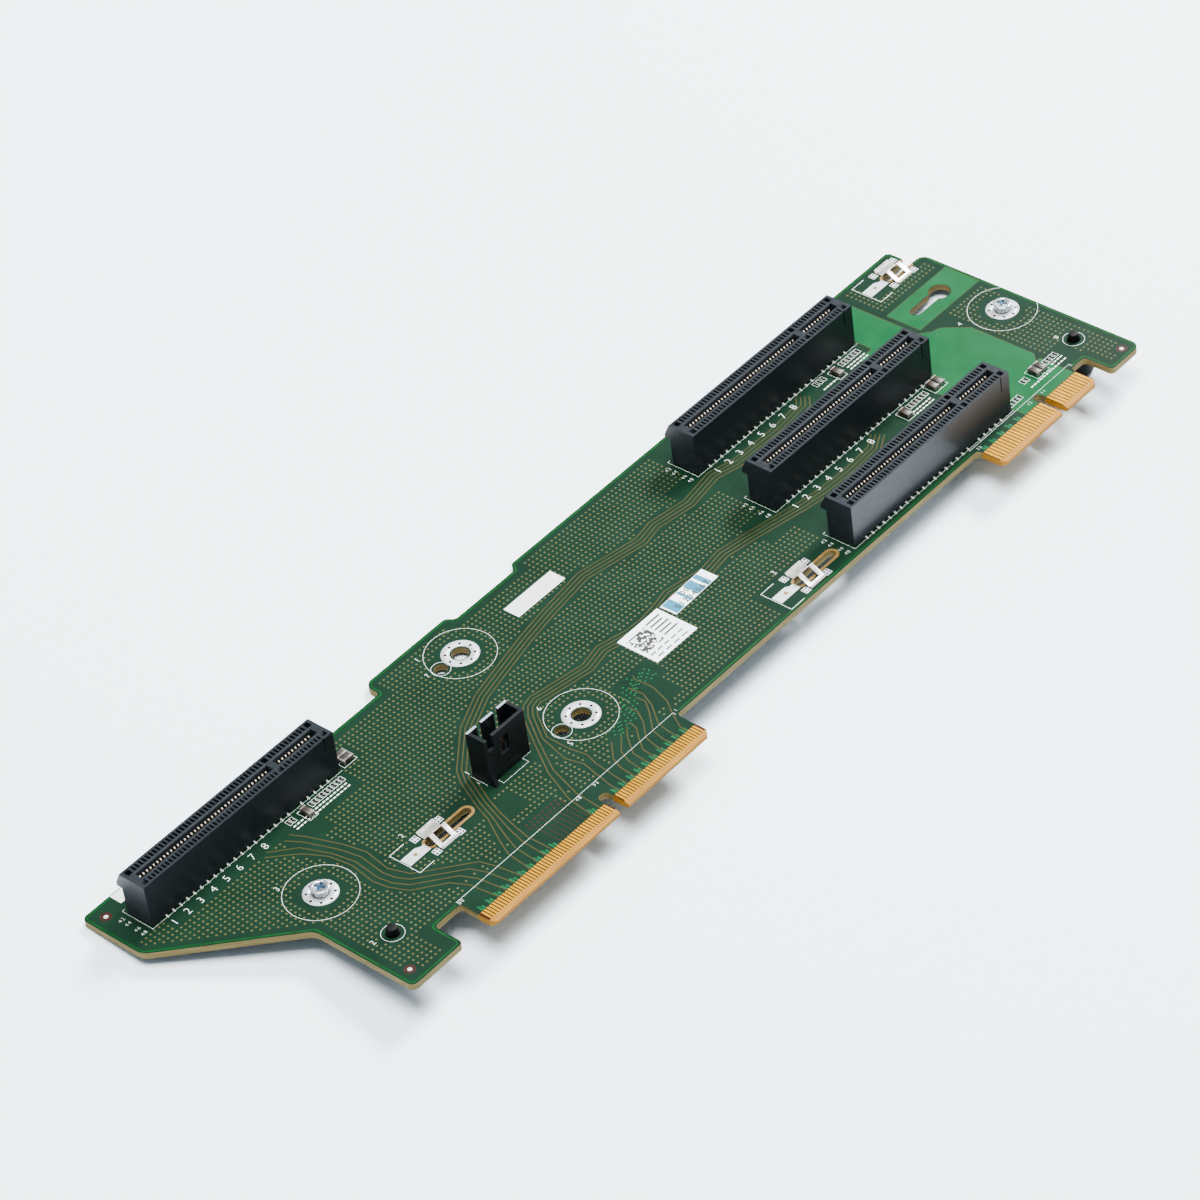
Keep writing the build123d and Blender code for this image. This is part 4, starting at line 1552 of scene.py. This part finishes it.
@dataclass
class CardSlot:
    """One card slot: moulded housing, spring contacts, solder tails and the print round it.

    The blade's path is distances from the slot's centre line and heights. A side mark is its digits and
    how far it stands from the outline's near corner.
    """

    node: str
    numbered: bool = True
    long_count: int = 38
    short_count: int = 11
    end_to_contact: float = 3.0
    key_spacing: float = 3.0
    half_width: float = 3.6
    edge_radius: float = 0.09
    blade_width: float = 0.32
    blade_thickness: float = 0.14
    blade_foot: float = 0.2
    blade_path: tuple[Point, ...] = (
        (0.8, 4.0), (0.74, 6.4), (0.56, 8.2), (0.5, 8.9), (0.54, 9.4), (0.8, 9.75),
    )
    back_width: float = 0.4
    back_depth: float = 0.22
    back_offset: float = 1.62
    back_low: float = 8.2
    back_high: float = 10.1
    back_taper: float = 0.7
    tail_width: float = 0.36
    tail_height: float = 0.36
    tail_outside: float = 0.16
    tail_inside: float = 0.5
    tail_taper: Point = (0.7, 0.5)
    pad_radius: float = 0.27
    pad_height: float = 0.22
    pad_offset: float = 0.42
    pad_taper: float = 0.45
    outer_pins: float = 3.25
    inner_pins: float = 1.25
    pin_solder: SolderCone = SolderCone(0.5, tip_share=0.45, sides=10)
    outline_offset: float = 4.05
    outline_margin: float = 0.35
    outline_side: float = 9.0
    outline_return: float = 0.4
    long_line: float = 0.05
    side_marks: tuple[tuple[str, float], ...] = (("48", 0.25), ("46", 2.2), ("44", 4.9), ("42", 6.8))
    side_mark_offset: float = 3.0
    side_mark_height: float = 1.0
    row_start: float = 3.0
    row_pitch: float = 3.8
    row_count: int = 8
    row_drop: float = 3.2
    row_height: float = 2.1

    def __post_init__(self) -> None:
        """Reads the slot's place from its housing in the frame."""
        low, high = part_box(self.node + "_housing")
        self.left = low.x / MM
        self.right = high.x / MM
        self.centre = low.y / MM + self.half_width
        self.first = self.left + self.end_to_contact
        self.second = self.first + (self.long_count - 1) * CONTACT_PITCH + self.key_spacing

    def build(self) -> None:
        """Builds the slot's pieces."""
        self.housing()
        self.contacts()
        self.window_springs()
        self.tails()
        self.pins_below()
        self.print_round()

    def housing(self) -> None:
        """Takes the CAD housing over with rounded edges."""
        body = copy_of_node(self.node + "_housing", self.node + "_body")
        round_edges(body, self.edge_radius, segments=1, smooth=FLAT_SHADE_ANGLE)
        lay_up(body, SLOT_PLASTIC, self.node + "_housing")

    def rows(self, piece: Piece, step: int = 1, offset: int = 0) -> Piece:
        """Repeats a piece, modelled at the first contact's place, along both parts of the slot.

        Args:
            piece: The piece at the first contact.
            step: How many contacts apart the copies are.
            offset: Which contact the first copy stands at.

        Returns:
            The rows, as one mesh.
        """
        lead = offset * CONTACT_PITCH
        short = copy_piece(piece, piece.name, (self.second - self.first + lead, 0, 0))
        long_row = copy_piece(piece, piece.name, (lead, 0, 0))
        bpy.data.objects.remove(piece)
        for row, contacts in ((long_row, self.long_count), (short, self.short_count)):
            repeat(row, math.ceil((contacts - offset) / step), (step * CONTACT_PITCH, 0, 0))
        return join_pieces(long_row.name, [long_row, short])

    def mirrored(self, piece: Piece) -> Piece:
        """Adds a piece's mirror image across the slot's centre line.

        Args:
            piece: The piece on one side.

        Returns:
            Both sides, as one mesh.
        """
        twin = copy_piece(piece, piece.name, (0, -self.centre, 0))
        mirror(twin, (1, -1, 1), (0, self.centre, 0))
        return join_pieces(piece.name, [piece, twin])

    def contacts(self) -> None:
        """Bends one spring blade and repeats it down both sides of the slot."""
        x, half, thick = self.first, self.blade_width / 2, self.blade_thickness / 2
        y, z = self.blade_path[0]
        low = (x - half, self.centre + y - thick, z - self.blade_foot)
        high = (x + half, self.centre + y + thick, z)
        blade = add_block(self.node + "_springs", low, high)
        pick_faces(blade, looks_up)
        for (y0, z0), (y1, z1) in zip(self.blade_path, self.blade_path[1:]):
            draw_out(0, y1 - y0, z1 - z0)
        leave_edit()
        # The blades' cream tips carry a painted highlight.
        lay_up(self.mirrored(self.rows(blade)), CONTACT_GOLD_AND_HIGHLIGHT, self.node + "_contacts")

    def window_springs(self) -> None:
        """Lays the springs' backs, which glint at the inner ends of the windows."""
        x, half = self.first, self.back_width / 2
        y = self.centre + self.back_offset
        low, high = (x - half, y, self.back_low), (x + half, y + self.back_depth, self.back_high)
        glint = add_block(self.node + "_spring_backs", low, high)
        taper(glint, self.back_taper, 1)
        lay_up(self.mirrored(self.rows(glint)), SPRING_BACK)

    def tails(self) -> None:
        """Solders every other contact's tail, which glints at the housing's foot."""
        x, half = self.first, self.tail_width / 2
        foot = self.centre - self.half_width
        low = (x - half, foot - self.tail_outside, 0.0)
        high = (x + half, foot + self.tail_inside, self.tail_height)
        tail = add_block(self.node + "_tails", low, high)
        taper(tail, *self.tail_taper)
        place = (x, foot - self.pad_offset)
        pad = add_drum(self.node + "_pads", self.pad_radius, 0.0, self.pad_height, place, sides=12)
        taper(pad, self.pad_taper, self.pad_taper)
        joint = self.rows(join_pieces(self.node + "_tails", [tail, pad]), step=2, offset=1)
        lay_up(self.mirrored(joint), SOLDER)

    def pins_below(self) -> None:
        """Solders the pins below the board, in two staggered rows on each side."""
        name = self.node + "_pins_below"
        outer = self.pin_solder.build(name, (self.first, self.centre + self.outer_pins))
        inner = self.pin_solder.build(name, (self.first, self.centre + self.inner_pins))
        pins = join_pieces(name, [self.rows(outer, step=2, offset=1), self.rows(inner, step=2)])
        lay_up(self.mirrored(pins), SOLDER)

    def print_round(self) -> None:
        """Prints the outline and plain position numbers."""
        near = self.centre - self.outline_offset
        far = near + self.outline_side
        left, right = self.left - self.outline_margin, self.right + self.outline_margin
        strokes = [
            Stroke(((left, near), (right, near)), self.long_line),
            Stroke(((left, near), (left, far), (self.left + self.outline_return, far)), WHITE_LINE),
        ]
        lay_up(print_strokes(self.node + "_outline", strokes, Layer.INK.value), INK)
        x = self.left - self.side_mark_offset
        marks = [(digits, x, near + rise, self.side_mark_height) for digits, rise in self.side_marks]
        if self.numbered:
            x, y = self.left + self.row_start, near - self.row_drop
            marks += [(str(i + 1), x + self.row_pitch * i, y, self.row_height) for i in range(self.row_count)]
        lay_up(print_digits(self.node + "_numbers", marks, Layer.INK.value), INK)


@dataclass
class EdgeConnector:
    """Gold fingers of one tongue, on both faces."""

    node: str

    def build(self) -> None:
        """Dresses the upper fingers and lays the same ones on the underside."""
        dress_node(self.node, GOLD)
        lower = copy_of_node(self.node, self.node + "_below")
        lay_up(mirror(lower, (1, 1, -1), (0, 0, -BOARD_THICKNESS)), GOLD)


@dataclass
class PowerHeader:
    """Shrouded header with its pins above and below the board."""

    edge_radius: float = 0.14
    pin_rounding: float = 0.12
    pin_count: int = 4
    pin_pitch: float = 2.54
    half_pin: float = 0.32
    solder: SolderCone = SolderCone(0.75, tip_share=0.5, sides=16)

    def build(self) -> None:
        """Rounds the shroud's edges and points the pins."""
        shroud = copy_of_node("power_header_housing", "power_header_shroud")
        round_edges(shroud, self.edge_radius, smooth=FLAT_SHADE_ANGLE)
        # The light tops of the shroud's far wall are a painted highlight.
        lay_up(shroud, HEADER_PLASTIC_AND_HIGHLIGHT, "power_header_housing")
        pins = copy_of_node("power_header_pins", "power_header_posts")
        round_edges(pins, self.pin_rounding, segments=1)
        # The pins' light tips are a painted highlight.
        lay_up(pins, PIN_BRASS_AND_HIGHLIGHT, "power_header_pins")
        low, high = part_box("power_header_pins")
        x, y = low.x / MM + self.half_pin, (low.y + high.y) / 2 / MM
        places = [(x + self.pin_pitch * i, y) for i in range(self.pin_count)]
        tails = [self.solder.build("power_header_tails", place) for place in places]
        lay_up(join_pieces("power_header_tails", tails), SOLDER)


@dataclass
class SpringClip:
    """Folded clip on four soldered pads over a routed slot.

    Places on it are counted from its left end and its centre line, and open_end is the board's own X where
    the slot runs out of the board, or 0 where it is closed.
    """

    node: str
    open_end: float = 0.0
    box_to_left: float = -1.35
    box_to_centre: float = 3.7
    pad_length: float = 1.65
    pad_width: float = 1.8
    pad_spread: float = 7.15
    pad_offset: float = 3.1
    pad_shift: float = -0.6
    pad_rise: float = 0.15
    via_radius: float = 0.26
    via_shift: Point = (0.42, 0.46)
    sheet_edge: float = 0.05
    strip_corners: tuple[Point, ...] = (
        (-6.1, -1.35), (0.2, -1.35), (0.2, 0.7), (-0.9, 0.9), (-1.7, 1.5), (-6.1, 1.5),
    )
    dot_place: Point = (-3.0, 0.1)
    dot_radius: float = 0.5
    slot_start: float = 0.3
    slot_end: float = 13.6
    slot_radius: float = 1.12
    margin_width: float = 0.65
    outline_left: float = 6.4
    outline_reach: float = 4.3
    outline_width: float = 0.14

    def __post_init__(self) -> None:
        """Reads the clip's place from its node in the frame."""
        low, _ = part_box(self.node)
        self.left = low.x / MM + self.box_to_left
        self.centre = low.y / MM + self.box_to_centre

    def build(self) -> None:
        """Builds the clip, its pads, vias, bare margin and print."""
        sheet = copy_of_node(self.node, self.node + "_sheet")
        round_edges(sheet, self.sheet_edge, segments=1, smooth=FLAT_SHADE_ANGLE)
        lay_up(sheet, SHEET_METAL, self.node)
        self.pads()
        x, y = self.dot_place
        spots = [(self.left + x, self.centre + y)]
        dot = print_discs(self.node + "_strip_dot", self.dot_radius, spots, Layer.OVER.value, sides=12)
        lay_up(dot, BARE_EDGE)
        self.margin()
        x, y, reach = self.left - self.outline_left, self.centre, self.outline_reach
        path = ((x + reach, y - reach), (x, y - reach), (x, y + reach), (x + reach, y + reach))
        outline = Stroke(path, self.outline_width)
        lay_up(print_strokes(self.node + "_outline", [outline], Layer.INK.value), INK)

    def pads(self) -> None:
        """Tins the four pads and the strip beside them, and lays four vias in each pad as dark discs of
        painted shade.
        """
        pads, vias = [], []
        half = self.pad_width / 2
        across, along = self.via_shift
        for dx in (self.pad_shift, self.pad_shift + self.pad_spread):
            for dy in (-self.pad_offset, self.pad_offset):
                x, y = self.left + dx, self.centre + dy + self.pad_rise
                pads.append(rectangle((x, y - half), (x + self.pad_length, y + half)))
                middle = x + self.pad_length / 2
                vias += [(middle + sx, y + sy) for sx in (-across, across) for sy in (-along, along)]
        pads.append(tuple((self.left + x, self.centre + y) for x, y in self.strip_corners))
        lay_up(print_fields(self.node + "_pads", pads, Layer.PAD.value), TIN)
        lay_up(print_discs(self.node + "_vias", self.via_radius, vias, Layer.OVER.value, sides=10), PAINTED_HOLE_SHADE)

    def margin(self) -> None:
        """Leaves bare laminate round the routed slot."""
        radius = self.slot_radius + self.margin_width / 2
        start = self.left + self.slot_start + self.slot_radius
        end = self.left + self.slot_end - self.slot_radius
        points = arc_points((start, self.centre), radius, half_turn(90))
        if self.open_end:
            end = self.open_end
            points = [(end, self.centre + radius), *points, (end, self.centre - radius)]
        else:
            points += arc_points((end, self.centre), radius, half_turn(-90))
        margin = Stroke(tuple(points), self.margin_width, not self.open_end)
        lay_up(print_strokes(self.node + "_bare_margin", [margin], Layer.EDGE.value), BARE_EDGE)


@dataclass
class ShoulderScrews:
    """The two screws that a bracket slides onto."""

    head_radius: float = 2.1
    head_low: float = 1.25
    head_high: float = 1.85
    head_rounding: float = 0.22
    neck_radius: float = 1.65
    shank_radius: float = 1.51
    shank_top: float = 1.3
    ridge_count: int = 5
    ridge_pitch: float = 0.24
    ridge_start: float = 0.06
    ridge_share: float = 0.7
    ridge_rounding: float = 0.06
    cross_low: Place = (-1.3, -0.34, -0.45)
    cross_high: Place = (1.3, 0.34, 0.5)
    cross_turns: tuple[float, float] = (20.0, 110.0)
    patch_radius: float = 1.35
    patch_height: float = 1.42
    nut_rounding: float = 0.2

    def build(self) -> None:
        """Turns both screws and sinks a cross in each head."""
        low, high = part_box("shoulder_screws")
        radius = self.head_radius
        places = ((low.x / MM + radius, low.y / MM + radius), (high.x / MM - radius, high.y / MM - radius))
        screws = [self.screw(place, low.z / MM) for place in places]
        lay_up(join_pieces("turned_screws", screws), ZINC, "shoulder_screws")
        patches = print_discs("screw_patches", self.patch_radius, places, self.patch_height, sides=24)
        lay_up(patches, BLUE_RECESS)
        nuts = copy_of_node("screw_nuts", "chamfered_nuts")
        round_edges(nuts, self.nut_rounding)
        lay_up(nuts, ZINC, "screw_nuts")

    def screw(self, place: Point, low: float) -> Piece:
        """One screw with a ridged neck, a domed head and a cross recess.

        Args:
            place: X and Y of its axis, in millimetres.
            low: Z of its lower end.

        Returns:
            The screw.
        """
        name = "turned_screws"
        shank = add_drum(name, self.shank_radius, low, self.shank_top, place, sides=40)
        ridges = []
        for i in range(self.ridge_count):
            z = self.ridge_start + self.ridge_pitch * i
            top = z + self.ridge_share * self.ridge_pitch
            ridge = add_drum(name, self.neck_radius, z, top, place, sides=40)
            round_edges(ridge, self.ridge_rounding, segments=1)
            ridges.append(ridge)
        head = add_drum(name, self.head_radius, self.head_low, self.head_high, place)
        round_edges(head, self.head_rounding, segments=4)
        for turn in self.cross_turns:
            cutter = add_block("cross_cutter", self.cross_low, self.cross_high)
            cutter.rotation_euler.z = math.radians(turn)
            cutter.location = (place[0] * MM, place[1] * MM, self.head_high * MM)
            set_down(cutter)
            apply_modifier(head, "BOOLEAN", operation="DIFFERENCE", object=cutter, solver="EXACT")
            bpy.data.objects.remove(cutter)
        return join_pieces(name, [shank, *ridges, head])


@dataclass
class RubberBumper:
    """Push-in rubber foot with its peg above the board."""

    node: str
    foot_radius: float = 4.3
    foot_rounding: float = 0.4
    rim_width: float = 0.9
    recess_slope: float = 0.5
    recess_depth: float = 0.4
    peg_radius: float = 1.5
    peg_collar: float = 0.25
    peg_length: float = 1.5
    peg_taper: float = 0.74
    peg_rounding: float = 0.22

    def build(self) -> None:
        """Turns the foot with soft edges and a tapered, domed peg."""
        low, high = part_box(self.node)
        place = ((low.x + high.x) / 2 / MM, (low.y + high.y) / 2 / MM)
        below = -BOARD_THICKNESS
        foot = add_drum(self.node + "_rubber", self.foot_radius, low.z / MM, below, place, sides=56)
        pick_faces(foot, looks_down)
        bpy.ops.mesh.inset(thickness=self.rim_width * MM)
        bpy.ops.mesh.inset(thickness=self.recess_slope * MM)
        bpy.ops.transform.translate(value=(0, 0, self.recess_depth * MM))
        leave_edit()
        round_edges(foot, self.foot_rounding, segments=4)
        peg = add_drum(self.node + "_peg", self.peg_radius, below, self.peg_collar, place, sides=32)
        pick_faces(peg, looks_up)
        draw_out(0, 0, self.peg_length)
        bpy.ops.transform.resize(value=(self.peg_taper, self.peg_taper, 1))
        leave_edit()
        round_edges(peg, self.peg_rounding, segments=3)
        lay_up(join_pieces(self.node + "_rubber", [foot, peg]), RUBBER, self.node)


@dataclass
class ChipParts:
    """Small parts soldered to the board, and the printed footprints beside the slots.

    A row of footprints is given by its first centre, the pitch and the count, and a row of dashes by its
    start and end in X and by its Y.
    """

    nodes: tuple[str, ...] = (
        "storage_slot_capacitors", "slot_1_capacitors", "slot_2_capacitors", "aux_capacitors",
    )
    body_rounding: float = 0.06
    end_length: float = 0.42
    end_lap: float = 0.02
    end_rounding: float = 0.1
    print_margin: float = 0.45
    print_width: float = 0.11
    footprint_half: Point = (0.42, 0.85)
    resistor_half: Point = (0.22, 0.45)
    resistor_height: float = 0.3
    resistor_rounding: float = 0.05
    footprint_rows: tuple[tuple[float, float, float, int], ...] = (
        (-59.4, 28.9, 1.15, 2), (-52.6, 28.9, 1.15, 9), (113.4, 28.0, 1.3, 3), (122.4, 27.8, 1.15, 6),
        (118.6, 5.4, 1.15, 6), (139.6, -10.6, 1.15, 2), (148.0, -10.6, 1.15, 4), (131.4, -13.2, 1.15, 4),
    )
    dash_pitch: float = 1.1
    dash_length: float = 0.75
    dash_width: float = 0.34
    dash_rows: tuple[Triple, ...] = (
        (-59.8, -43.0, 27.2), (-59.8, -43.0, 26.2), (113.0, 119.0, 25.3), (122.2, 129.6, 25.9),
        (122.2, 129.6, 24.9), (117.6, 124.6, 3.4), (117.6, 124.6, 2.4), (139.0, 152.4, -13.4),
        (148.0, 152.4, -12.2),
    )

    def build(self) -> None:
        """Builds the capacitors and everything printed near them."""
        for node in self.nodes:
            self.capacitors(node)
        self.footprints()

    def footprints(self) -> None:
        """Prints the small footprints and dashes, and solders a resistor in each footprint."""
        frames, bodies = [], []
        line = self.print_width
        across, along = self.footprint_half
        half_width, half_length = self.resistor_half
        for start, y, step, count in self.footprint_rows:
            for x in (start + step * i for i in range(count)):
                frames.append(frame_stroke((x - across, y - along), (x + across, y + along), line))
                low = (x - half_width, y - half_length, 0.0)
                high = (x + half_width, y + half_length, self.resistor_height)
                bodies.append(add_block("chip_resistors", low, high))
        for start, end, y in self.dash_rows:
            count = int((end - start) / self.dash_pitch)
            for x in (start + self.dash_pitch * i for i in range(count)):
                frames.append(Stroke(((x, y), (x + self.dash_length, y)), self.dash_width))
        lay_up(print_strokes("footprint_frames", frames, Layer.INK.value), INK)
        resistors = join_pieces("chip_resistors", bodies)
        round_edges(resistors, self.resistor_rounding, segments=1)
        lay_up(resistors, CHIP_BLACK)

    def capacitors(self, node: str) -> None:
        """Splits a CAD node into its chips and gives each a ceramic middle and two tinned ends.

        Args:
            node: The capacitors' node.
        """
        chips = copy_of_node(node, node + "_bodies")
        take_up(chips)
        bpy.ops.mesh.separate(type="LOOSE")
        bodies = list(bpy.context.selected_objects)
        ends, outlines = [], []
        gap = self.print_margin
        for body in bodies:
            corners = [vertex.co / MM for vertex in body.data.vertices]
            low = [min(corner[axis] for corner in corners) for axis in range(3)]
            high = [max(corner[axis] for corner in corners) for axis in range(3)]
            ends += self.tinned_ends(node + "_ends", low, high)
            near, far = (low[0] - gap, low[1] - gap), (high[0] + gap, high[1] + gap)
            outlines.append(frame_stroke(near, far, self.print_width))
        middle = join_pieces(node + "_bodies", bodies)
        round_edges(middle, self.body_rounding, segments=1)
        lay_up(middle, CHIP_BODY, node)
        lay_up(join_pieces(node + "_ends", ends), CHIP_END)
        lay_up(print_strokes(node + "_print", outlines, Layer.INK.value), INK)

    def tinned_ends(self, name: str, low: Sequence[float], high: Sequence[float]) -> list[Piece]:
        """Models the two ends of one chip, which lap over its body a little.

        Args:
            name: The pieces' name.
            low: The chip's lowest corner, in millimetres.
            high: Its highest corner.

        Returns:
            Both ends, standing on the board.
        """
        along = 0 if high[0] - low[0] > high[1] - low[1] else 1
        ends = []
        for is_far in (False, True):
            a, b = list(low), list(high)
            if is_far:
                a[along] = high[along] - self.end_length
            else:
                b[along] = low[along] + self.end_length
            a, b = [part - self.end_lap for part in a], [part + self.end_lap for part in b]
            a[2] = 0.0
            end = add_block(name, a, b)
            round_edges(end, self.end_rounding)
            ends.append(end)
        return ends


@dataclass
class PaperLabels:
    """The two adhesive labels, with generic print.

    A row of dashes is given by its first dash's start and end, the dashes' pitch, the row's height on the
    label and their count. Bands and marks of the strip are counted from its middle.
    """

    squares_place: Point = (0.9, -7.6)
    squares_span: float = 5.9
    square: float = 0.42
    lift: float = 0.01
    line_count: int = 5
    line_start: Point = (7.6, -1.6)
    line_pitch: float = 1.3
    line_end: float = 1.2
    line_step: float = 0.5
    line_width: float = 0.5
    dash_rows: tuple[tuple[float, float, float, float, int], ...] = (
        (0.9, 2.5, 2.2, 2.6, 5), (1.6, 3.4, 2.6, 1.1, 4),
    )
    dash_width: float = 0.4
    strip_lean: float = 2.0
    band_half: float = 2.2
    band_spans: tuple[Point, ...] = ((-6.9, -4.1), (-2.0, -1.2), (0.6, 3.2), (3.9, 5.4))
    strip_marks: tuple[Mark, ...] = (
        ("01234567", -5.6, -1.9, 1.6), ("00", -1.6, 0.3, 1.5),
    )
    strip_weight: float = 0.03

    def build(self) -> None:
        """Dresses both labels and prints plain bars, bands and digits on them."""
        low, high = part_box("square_label")
        top = high.z / MM + self.lift
        self.square_label((low.x / MM, low.y / MM), (high.x / MM, high.y / MM), top)
        self.strip_label(top)

    def square_label(self, low: Point, high: Point, top: float) -> None:
        """Dresses the square label and prints its bars.

        Args:
            low: X and Y of its lowest corner, in millimetres.
            high: X and Y of its highest corner.
            top: Height of the print.
        """
        (x0, y0), (x1, y1) = low, high
        corner = (x0 + self.squares_place[0], y1 + self.squares_place[1])
        finish = SquaresFinish("square_label_paper", "label_paper", corner, self.squares_span, self.square)
        dress_node("square_label", finish)
        bars = []
        for i in range(self.line_count):
            y = y1 + self.line_start[1] - self.line_pitch * i
            end = x1 - self.line_end - self.line_step * (i % 2)
            bars.append(Stroke(((x0 + self.line_start[0], y), (end, y)), self.line_width))
        for start, end, pitch, rise, count in self.dash_rows:
            for shift in (x0 + pitch * i for i in range(count)):
                bars.append(Stroke(((shift + start, y0 + rise), (shift + end, y0 + rise)), self.dash_width))
        lay_up(print_strokes("label_bars", bars, top), GREY_PRINT)

    def strip_label(self, top: float) -> None:
        """Dresses the strip label and prints its bands and digits.

        Args:
            top: Height of the print.
        """
        dress_node("strip_label", STRIP_PAPER)
        low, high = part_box("strip_label")
        middle = (low + high) / 2 / MM
        turn = Matrix.Rotation(math.radians(self.strip_lean), 2)
        half = self.band_half
        bands = []
        for start, end in self.band_spans:
            corners = rectangle((start, -half), (end, half))
            bands.append(tuple(tuple(turn @ Vector(corner) + middle.to_2d()) for corner in corners))
        lay_up(print_fields("strip_bands", bands, top), CYAN_BAND)
        marks = [(digits, middle.x + x, middle.y + y, size) for digits, x, y, size in self.strip_marks]
        lay_up(print_digits("strip_numbers", marks, top + self.lift, self.strip_weight), GREY_PRINT)


@dataclass
class Studio:
    """Pale floor, soft lights and the camera of the photograph.

    A lamp is its name, its place, its size and its strength, in metres and watts.
    """

    floor_color: Color = paint(238, 248, 254)
    floor_tone: Color = paint(230, 242, 250)
    floor_size: float = 12.0
    floor_grain: float = 400.0
    floor_tint: float = 0.4
    floor_roughness: float = 0.7
    foot_point: Place = (43.0, -11.4, -8.1)
    far_point: Place = (43.0, 44.95, -1.6)
    lamps: tuple[tuple[str, Place, float, float], ...] = (
        ("overhead", (-0.1, -0.1, 1.5), 1.0, 76.0),
        ("right_key", (1.25, 0.15, 1.1), 0.45, 90.0),
        ("right_front", (0.95, -1.05, 0.85), 0.8, 6.0),
        ("left_side", (-1.3, 0.5, 1.0), 1.0, 3.0),
    )
    lamp_target: Place = (0.03, 0.01, 0.0)
    sky: Color = (0.78, 0.89, 1.0)
    sky_strength: float = 0.42
    camera_place: Place = (-510.6, -544.1, 669.0)
    camera_right: Place = (0.6497, -0.7522, -0.1100)
    camera_ahead: Place = (0.5254, 0.5489, -0.6502)
    focal_length: float = 143.2
    sensor_width: float = 36.0
    clip_end: float = 20.0

    def build(self) -> None:
        """Puts up floor, lights, surroundings and camera."""
        self.lay_floor()
        self.hang_lights()
        self.light_sky()
        self.place_camera()

    def lay_floor(self) -> None:
        """Lays the floor under the far rims of the feet and the board's far edge, on which the card rests."""
        rise = (self.far_point[2] - self.foot_point[2]) / (self.far_point[1] - self.foot_point[1])
        leave_edit()
        place = [part * MM for part in self.foot_point]
        turn = (math.atan(rise), 0, 0)
        bpy.ops.mesh.primitive_plane_add(size=self.floor_size, location=place, rotation=turn)
        floor = set_down(bpy.context.object)
        floor.name = "studio_floor"
        shade = Shade("studio_floor")
        tone = shade.spread(shade.grain(self.floor_grain), 0.0, self.floor_tint)
        shade.coat(shade.blend(tone, self.floor_color, self.floor_tone), self.floor_roughness)
        floor.data.materials.append(shade.material)

    def hang_lights(self) -> None:
        """Hangs the soft boxes and aims them at the card."""
        for name, place, size, watts in self.lamps:
            light = bpy.data.lights.new(name, "AREA")
            light.shape = "SQUARE"
            light.size = size
            light.energy = watts
            lamp = put_in_scene(name, light)
            lamp.location = place
            aim = Vector(self.lamp_target) - Vector(place)
            lamp.rotation_euler = aim.to_track_quat("-Z", "Y").to_euler()

    def light_sky(self) -> None:
        """Sets the light that comes from all round."""
        world = bpy.data.worlds.new("studio")
        world.use_nodes = True
        background = world.node_tree.nodes["Background"]
        background.inputs["Color"].default_value = (*self.sky, 1.0)
        background.inputs["Strength"].default_value = self.sky_strength
        bpy.context.scene.world = world

    def place_camera(self) -> None:
        """Places the camera where the photograph was taken from."""
        right = Vector(self.camera_right).normalized()
        ahead = Vector(self.camera_ahead).normalized()
        up = right.cross(ahead).normalized()
        right = ahead.cross(up)
        turn = Matrix((right, up, -ahead)).transposed().to_4x4()
        camera = bpy.data.cameras.new("photo_camera")
        camera.lens = self.focal_length
        camera.sensor_width = self.sensor_width
        camera.clip_end = self.clip_end
        holder = put_in_scene("photo_camera", camera)
        holder.matrix_world = Matrix.Translation(Vector(self.camera_place) * MM) @ turn
        bpy.context.scene.camera = holder


def main() -> None:
    """Builds every piece of the card and the studio around it."""
    logging.basicConfig(level=logging.INFO, format="%(message)s")
    BoardSurface().build()
    for name, hole in MOUNTING_HOLES.items():
        hole.build(name)
    Silkscreen().build()
    for node, numbered in (("storage_slot", True), ("slot_1", True), ("slot_2", True), ("slot_3", False)):
        CardSlot(node, numbered).build()
    for node in ("main_edge_fingers", "aux_edge_fingers"):
        EdgeConnector(node).build()
    PowerHeader().build()
    for node, open_end in (("spring_clip_1", 160.8), ("spring_clip_2", 0.0), ("spring_clip_3", 0.0)):
        SpringClip(node, open_end).build()
    ShoulderScrews().build()
    for node in ("rubber_bumper_left", "rubber_bumper_right"):
        RubberBumper(node).build()
    ChipParts().build()
    PaperLabels().build()
    Studio().build()


if __name__ == "__main__":
    main()
